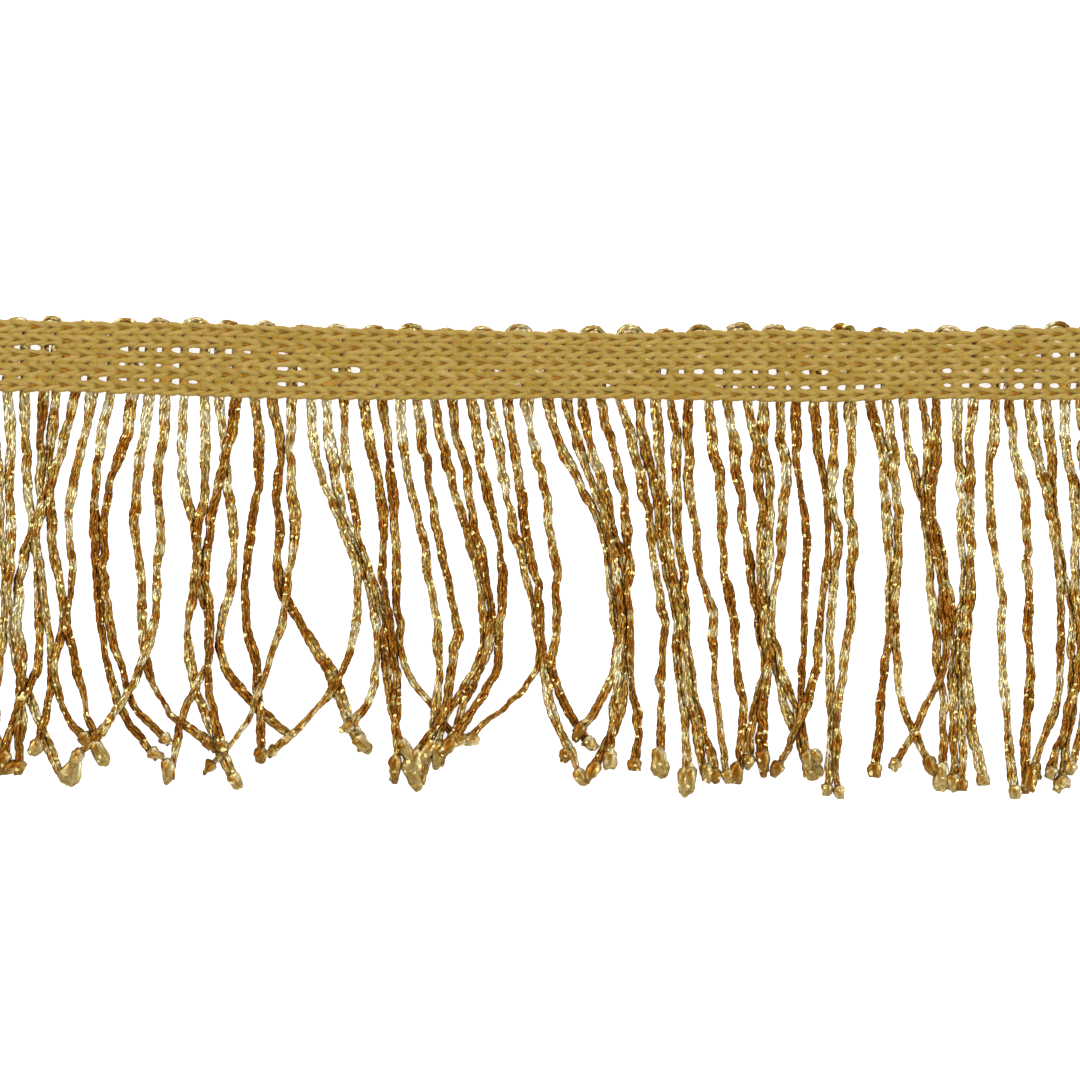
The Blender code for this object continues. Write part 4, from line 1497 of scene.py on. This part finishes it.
                def tone(run: np.ndarray) -> np.ndarray:
                    """Tone at lengths along the strand."""
                    return np.interp(run, path.run, tones)

                self.yarn.knit(chain, stack, path, tone, rng, STRANDS[number].girth)
                tips.append(StrandEnd.of(path))
            piece = stack.finished(f"strands_{first // self.group_size + 1}")
            dress(piece, self.finish, "fringe")
            pieces.append(piece)
        return pieces, tips


@dataclass
class Weft:
    """The same foil yarn inside the heading: up from one strand, round a hairpin and down to the next."""

    chart: Chart
    heading: Heading
    yarn: FoilChain
    finish: bpy.types.Material
    height: float = 0.62 * MM
    squash: float = 0.8
    lean: float = 2.0
    foot: float = 2.0
    arching: float = 0.6
    arch_turns: int = 13
    tuck: float = 1.2
    route_samples: int = 120
    tone: tuple = (0.60, 0.03)
    shade: float = 0.11
    shade_length: float = 0.8 * MM
    seed: int = 31

    def hairpin(self, left: Strand, right: Strand, rise: float) -> Path:
        """The line from one strand's root over the free edge to the next strand's.

        Args:
            left: The strand on the left.
            right: The strand on the right.
            rise: How far the hairpin stands out, in steps.

        Returns:
            The path of the weft.
        """
        chart = self.chart
        foot_left = float(self.heading.lower(left.root)) + self.foot
        foot_right = float(self.heading.lower(right.root)) + self.foot
        half_gap = (right.root - left.root) / 2
        middle = (left.root + right.root) / 2 + self.lean
        crown = float(self.heading.upper(middle)) + rise - self.yarn.half_width / chart.step
        crown -= self.tuck
        shoulder = crown - half_gap * self.arching
        turns = np.linspace(math.pi, 0.0, self.arch_turns)
        along = [left.root, left.root + self.lean / 2] + list(middle + half_gap * np.cos(turns))
        across = [foot_left, (foot_left + shoulder) / 2]
        across += list(shoulder + (crown - shoulder) * np.sin(turns))
        along += [right.root + self.lean / 2, right.root]
        across += [(foot_right + shoulder) / 2, foot_right]
        points = np.column_stack([chart.x(along), chart.y(across), np.full(len(along), self.height)])
        return Path(read_along(points, np.linspace(0.0, run_along(points)[-1], self.route_samples)))

    def build(self) -> bpy.types.Object:
        """Knits the weft.

        Returns:
            Its one piece.
        """
        rng = np.random.default_rng(self.seed)
        chain = self.yarn.chain()
        chain.half_depth *= self.squash
        chain.patchiness /= 2
        stack = MeshStack()
        for number, rise in enumerate(LOOP_RISES):
            path = self.hairpin(STRANDS[2 * number + 1], STRANDS[2 * number + 2], rise)
            base = rng.normal(*self.tone)
            shade = drift(rng, path.run, self.shade_length)

            def tone(run: np.ndarray) -> np.ndarray:
                """Tone at lengths along the weft."""
                return base + self.shade * np.interp(run, path.run, shade)

            self.yarn.knit(chain, stack, path, tone, rng)
        piece = stack.finished("weft")
        dress(piece, self.finish, "heading")
        return piece


@dataclass
class MeltedTips:
    """The lumps of melted yarn that close the strands."""

    chart: Chart
    ends: list
    catch: float = 1.4 * MM
    overlap: float = 1.5 * MM
    segments: int = 14
    rings: int = 9
    flatness: float = 0.62 * MM
    drawn_out: tuple = ((0.05, 0.20), (0.35, 0.25), (0.75, 0.30))
    neck_share: float = 0.27
    neck: float = 0.68 * MM
    neck_ring: float = 0.66
    dent_size: float = 0.7 * MM
    dent_depths: tuple = (0.5, 0.8)
    first_seed: int = 500

    def finishes(self) -> dict:
        """Makes the lumps' materials.

        Returns:
            One for each kind of lump.
        """
        colours = {
            BEAD: (0.56, (0.17, 0.094, 0.015), (0.40, 0.29, 0.085)),
            CLEAR: (0.60, (0.22, 0.14, 0.038), (0.45, 0.335, 0.125)),
            BROWN: (0.37, (0.12, 0.052, 0.004), (0.27, 0.145, 0.024)),
        }
        return {kind: MeltedFoil(kind, *looks).material() for kind, looks in colours.items()}

    def draw_out(self, shape: bpy.types.Object, place: tuple, wide: float) -> None:
        """Draws the upper end of a unit ball out to a neck, in edit mode.

        Args:
            shape: The ball, whose poles lie along the trim's width.
            place: Where its middle is.
            wide: Half the width that it will have, in metres.
        """
        x, y, z = place
        pinch = (self.neck / (self.neck_ring * wide)) ** (1.0 / len(self.drawn_out))
        shell = bmesh.from_edit_mesh(shape.data)
        for height, pull in self.drawn_out:
            for point in shell.verts:
                point.select = point.co.y > height
            shell.select_flush_mode()
            bmesh.update_edit_mesh(shape.data)
            bpy.ops.transform.translate(value=(0.0, pull, 0.0))
            bpy.ops.transform.resize(value=(pinch, 1.0, pinch), center_override=(x, y, z))
        bpy.ops.mesh.select_all(action="SELECT")

    def axis(self, tip: Tip) -> tuple:
        """The line through a lump, from the strand's last stitches to its own foot.

        Args:
            tip: Its row of the table.

        Returns:
            The two ends of the line.
        """
        chart = self.chart
        turn = math.radians(tip.turn)
        half = np.array([-math.sin(turn), -math.cos(turn)]) * tip.length * chart.step / 2
        middle = np.array([float(chart.x(tip.along)), float(chart.y_down(tip.down))])
        foot, head = middle + half, middle - half
        reach = [float(np.linalg.norm(end.point[:2] - (head + middle) / 2)) for end in self.ends]
        nearest = self.ends[int(np.argmin(reach))]
        height = nearest.point[2]
        if min(reach) < self.catch:
            head = nearest.point[:2] - nearest.ahead[:2] * self.overlap
        return np.array([*head, height]), np.array([*foot, height])

    def lump(self, tip: Tip, number: int) -> bpy.types.Object:
        """Models one lump: a ball drawn out along the strand, flattened, cut and made uneven.

        Args:
            tip: Its row of the table.
            number: Its number, which seeds its unevenness.

        Returns:
            The lump, with its place in its mesh.
        """
        head, foot = self.axis(tip)
        x, y = (head[:2] + foot[:2]) / 2
        ahead = foot[:2] - head[:2]
        turn = math.atan2(ahead[0], -ahead[1])
        wide = tip.width * self.chart.step / 2
        long = float(np.linalg.norm(ahead)) / 2
        thick = min(wide, self.flatness)
        z = max(float(head[2]), thick)
        bpy.ops.object.select_all(action="DESELECT")
        bpy.ops.mesh.primitive_uv_sphere_add(
            segments=self.segments, ring_count=self.rings, radius=1.0, location=(x, y, z)
        )
        shape = bpy.context.object
        bpy.ops.object.mode_set(mode="EDIT")
        bpy.ops.mesh.select_all(action="SELECT")
        bpy.ops.transform.rotate(value=math.pi / 2, orient_axis="X", center_override=(x, y, z))
        self.draw_out(shape, (x, y, z), wide)
        bpy.ops.transform.translate(value=(0.0, -self.neck_share, 0.0))
        if tip.cut:
            bpy.ops.mesh.bisect(
                plane_co=(x, y - 1.0 - self.neck_share + 2.0 * tip.cut, z), plane_no=(0.0, -1.0, 0.0),
                use_fill=True, clear_outer=True,
            )
            bpy.ops.mesh.select_all(action="SELECT")
        bpy.ops.transform.resize(
            value=(wide, long / (1.0 + self.neck_share), thick), center_override=(x, y, z)
        )
        bpy.ops.transform.rotate(value=-turn, orient_axis="Z", center_override=(x, y, z))
        bpy.ops.mesh.subdivide(number_cuts=1, smoothness=0.0 if tip.cut else 1.0)
        bpy.ops.object.mode_set(mode="OBJECT")
        bpy.ops.object.transform_apply(location=True, rotation=True, scale=True)
        rng = np.random.default_rng(self.first_seed + number)
        clouds = bpy.data.textures.new(f"lump_{number}", "CLOUDS")
        clouds.noise_scale = self.dent_size
        dents = shape.modifiers.new("dents", "DISPLACE")
        dents.texture = clouds
        dents.texture_coords = "LOCAL"
        dents.mid_level = 0.5
        dents.strength = float(rng.uniform(*self.dent_depths)) * MM
        bpy.ops.object.modifier_apply(modifier=dents.name)
        bpy.data.textures.remove(clouds)
        lowest = min(point.co.z for point in shape.data.vertices)
        shape.data.transform(Matrix.Translation((0.0, 0.0, max(0.0, -lowest))))
        melt = shape.data.attributes.new("melt", "FLOAT", "POINT")
        for point, mark in zip(shape.data.vertices, melt.data):
            mark.value = float(np.dot(np.array(point.co[:2]) - head[:2], ahead) / np.dot(ahead, ahead))
        return shape

    def build(self) -> list:
        """Models all lumps.

        Returns:
            Their pieces, one for each kind.
        """
        finishes = self.finishes()
        pieces = []
        for kind in TipKind:
            shapes = [self.lump(tip, n) for n, tip in enumerate(TIPS) if tip.kind is kind]
            bpy.ops.object.select_all(action="DESELECT")
            for shape in shapes:
                shape.select_set(True)
            bpy.context.view_layer.objects.active = shapes[0]
            bpy.ops.object.join()
            piece = bpy.context.object
            bpy.ops.object.shade_smooth()
            piece.name = f"melted_tips_{kind.value}"
            dress(piece, finishes[kind], "fringe")
            pieces.append(piece)
        return pieces


class Softbox(NamedTuple):
    """A square soft light: where it hangs, its width in metres and its power in watts."""

    name: str
    place: tuple
    size: float
    energy: float


@dataclass
class Studio:
    """The pale table, the soft lights and the camera."""

    chart: Chart
    frame_steps: float = 1080
    camera_height: float = 0.6
    sensor: float = 36.0
    softboxes: tuple = (
        Softbox("softbox_left", (-0.55, 0.25, 0.55), 0.35, 3.2),
        Softbox("softbox_right", (0.6, -0.1, 0.5), 0.3, 2.6),
        Softbox("softbox_back", (0.05, 0.65, 0.45), 0.35, 2.2),
        Softbox("softbox_front", (-0.1, -0.6, 0.6), 0.3, 1.8),
    )
    room: tuple = (1.0, 0.99, 0.97, 1.0)
    room_strength: float = 0.32
    table_size: float = 3.0
    table_gap: float = 0.05 * MM

    def floor(self) -> None:
        """Lays the pale table under the trim."""
        bpy.ops.object.select_all(action="DESELECT")
        bpy.ops.mesh.primitive_plane_add(size=self.table_size, location=(0.0, 0.0, -self.table_gap))
        table = bpy.context.object
        bpy.ops.object.transform_apply(location=True, rotation=True, scale=True)
        table.name = "table"
        board = NodeBoard.named("pale_table")
        board.feed(board.shader, {
            "Base Color": (0.86, 0.86, 0.86, 1.0),
            "Roughness": 0.9,
            "Emission Color": (1.0, 1.0, 1.0, 1.0),
            "Emission Strength": 0.8,
        })
        table.data.materials.append(board.material)

    def lights(self) -> None:
        """Hangs the soft lights, pointed at the trim, and sets the room's own pale light."""
        for softbox in self.softboxes:
            data = bpy.data.lights.new(softbox.name, "AREA")
            data.shape = "SQUARE"
            data.size = softbox.size
            data.energy = softbox.energy
            light = bpy.data.objects.new(softbox.name, data)
            light.location = softbox.place
            light.rotation_euler = (-Vector(softbox.place)).to_track_quat("-Z", "Y").to_euler()
            bpy.context.scene.collection.objects.link(light)
        world = bpy.data.worlds.new("room")
        world.use_nodes = True
        background = world.node_tree.nodes["Background"]
        background.inputs["Color"].default_value = self.room
        background.inputs["Strength"].default_value = self.room_strength
        bpy.context.scene.world = world

    def camera(self) -> None:
        """Hangs the camera straight above the middle of the picture."""
        chart = self.chart
        middle = self.frame_steps / 2
        data = bpy.data.cameras.new("camera")
        data.sensor_width = self.sensor
        data.lens = self.sensor * self.camera_height / (self.frame_steps * chart.step)
        camera = bpy.data.objects.new("camera", data)
        camera.location = (float(chart.x(middle)), float(chart.y_down(middle)), self.camera_height)
        bpy.context.scene.collection.objects.link(camera)
        bpy.context.scene.camera = camera

    def build(self) -> None:
        """Sets up the whole studio."""
        self.camera()
        self.lights()
        self.floor()
        bpy.context.scene.view_settings.view_transform = "Standard"


def corners(bounds: tuple) -> list:
    """The two corners of a box, as plain lists."""
    return [[float(value) for value in corner] for corner in bounds]


def main() -> None:
    """Builds the studio and each sub-assembly in order."""
    logging.basicConfig(level=logging.INFO, format="%(name)s: %(message)s")
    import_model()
    chart = Chart.fitted()
    Studio(chart).build()
    heading = Heading(chart)
    yarn = FoilChain()
    rows = heading.build()
    foil = FoilYarn().material()
    strands, tips = Fringe(chart, heading, yarn, foil).build()
    even_yarn = replace(yarn, half_width=0.76 * MM, slimming=((0.0, 1.0), (1.0, 1.0)))
    weft = Weft(chart, heading, even_yarn, foil).build()
    lumps = MeltedTips(chart, tips).build()
    for piece in [*rows, *strands, weft, *lumps]:
        log.info("%s: %d faces", piece.name, len(piece.data.polygons))


if __name__ == "__main__":
    main()
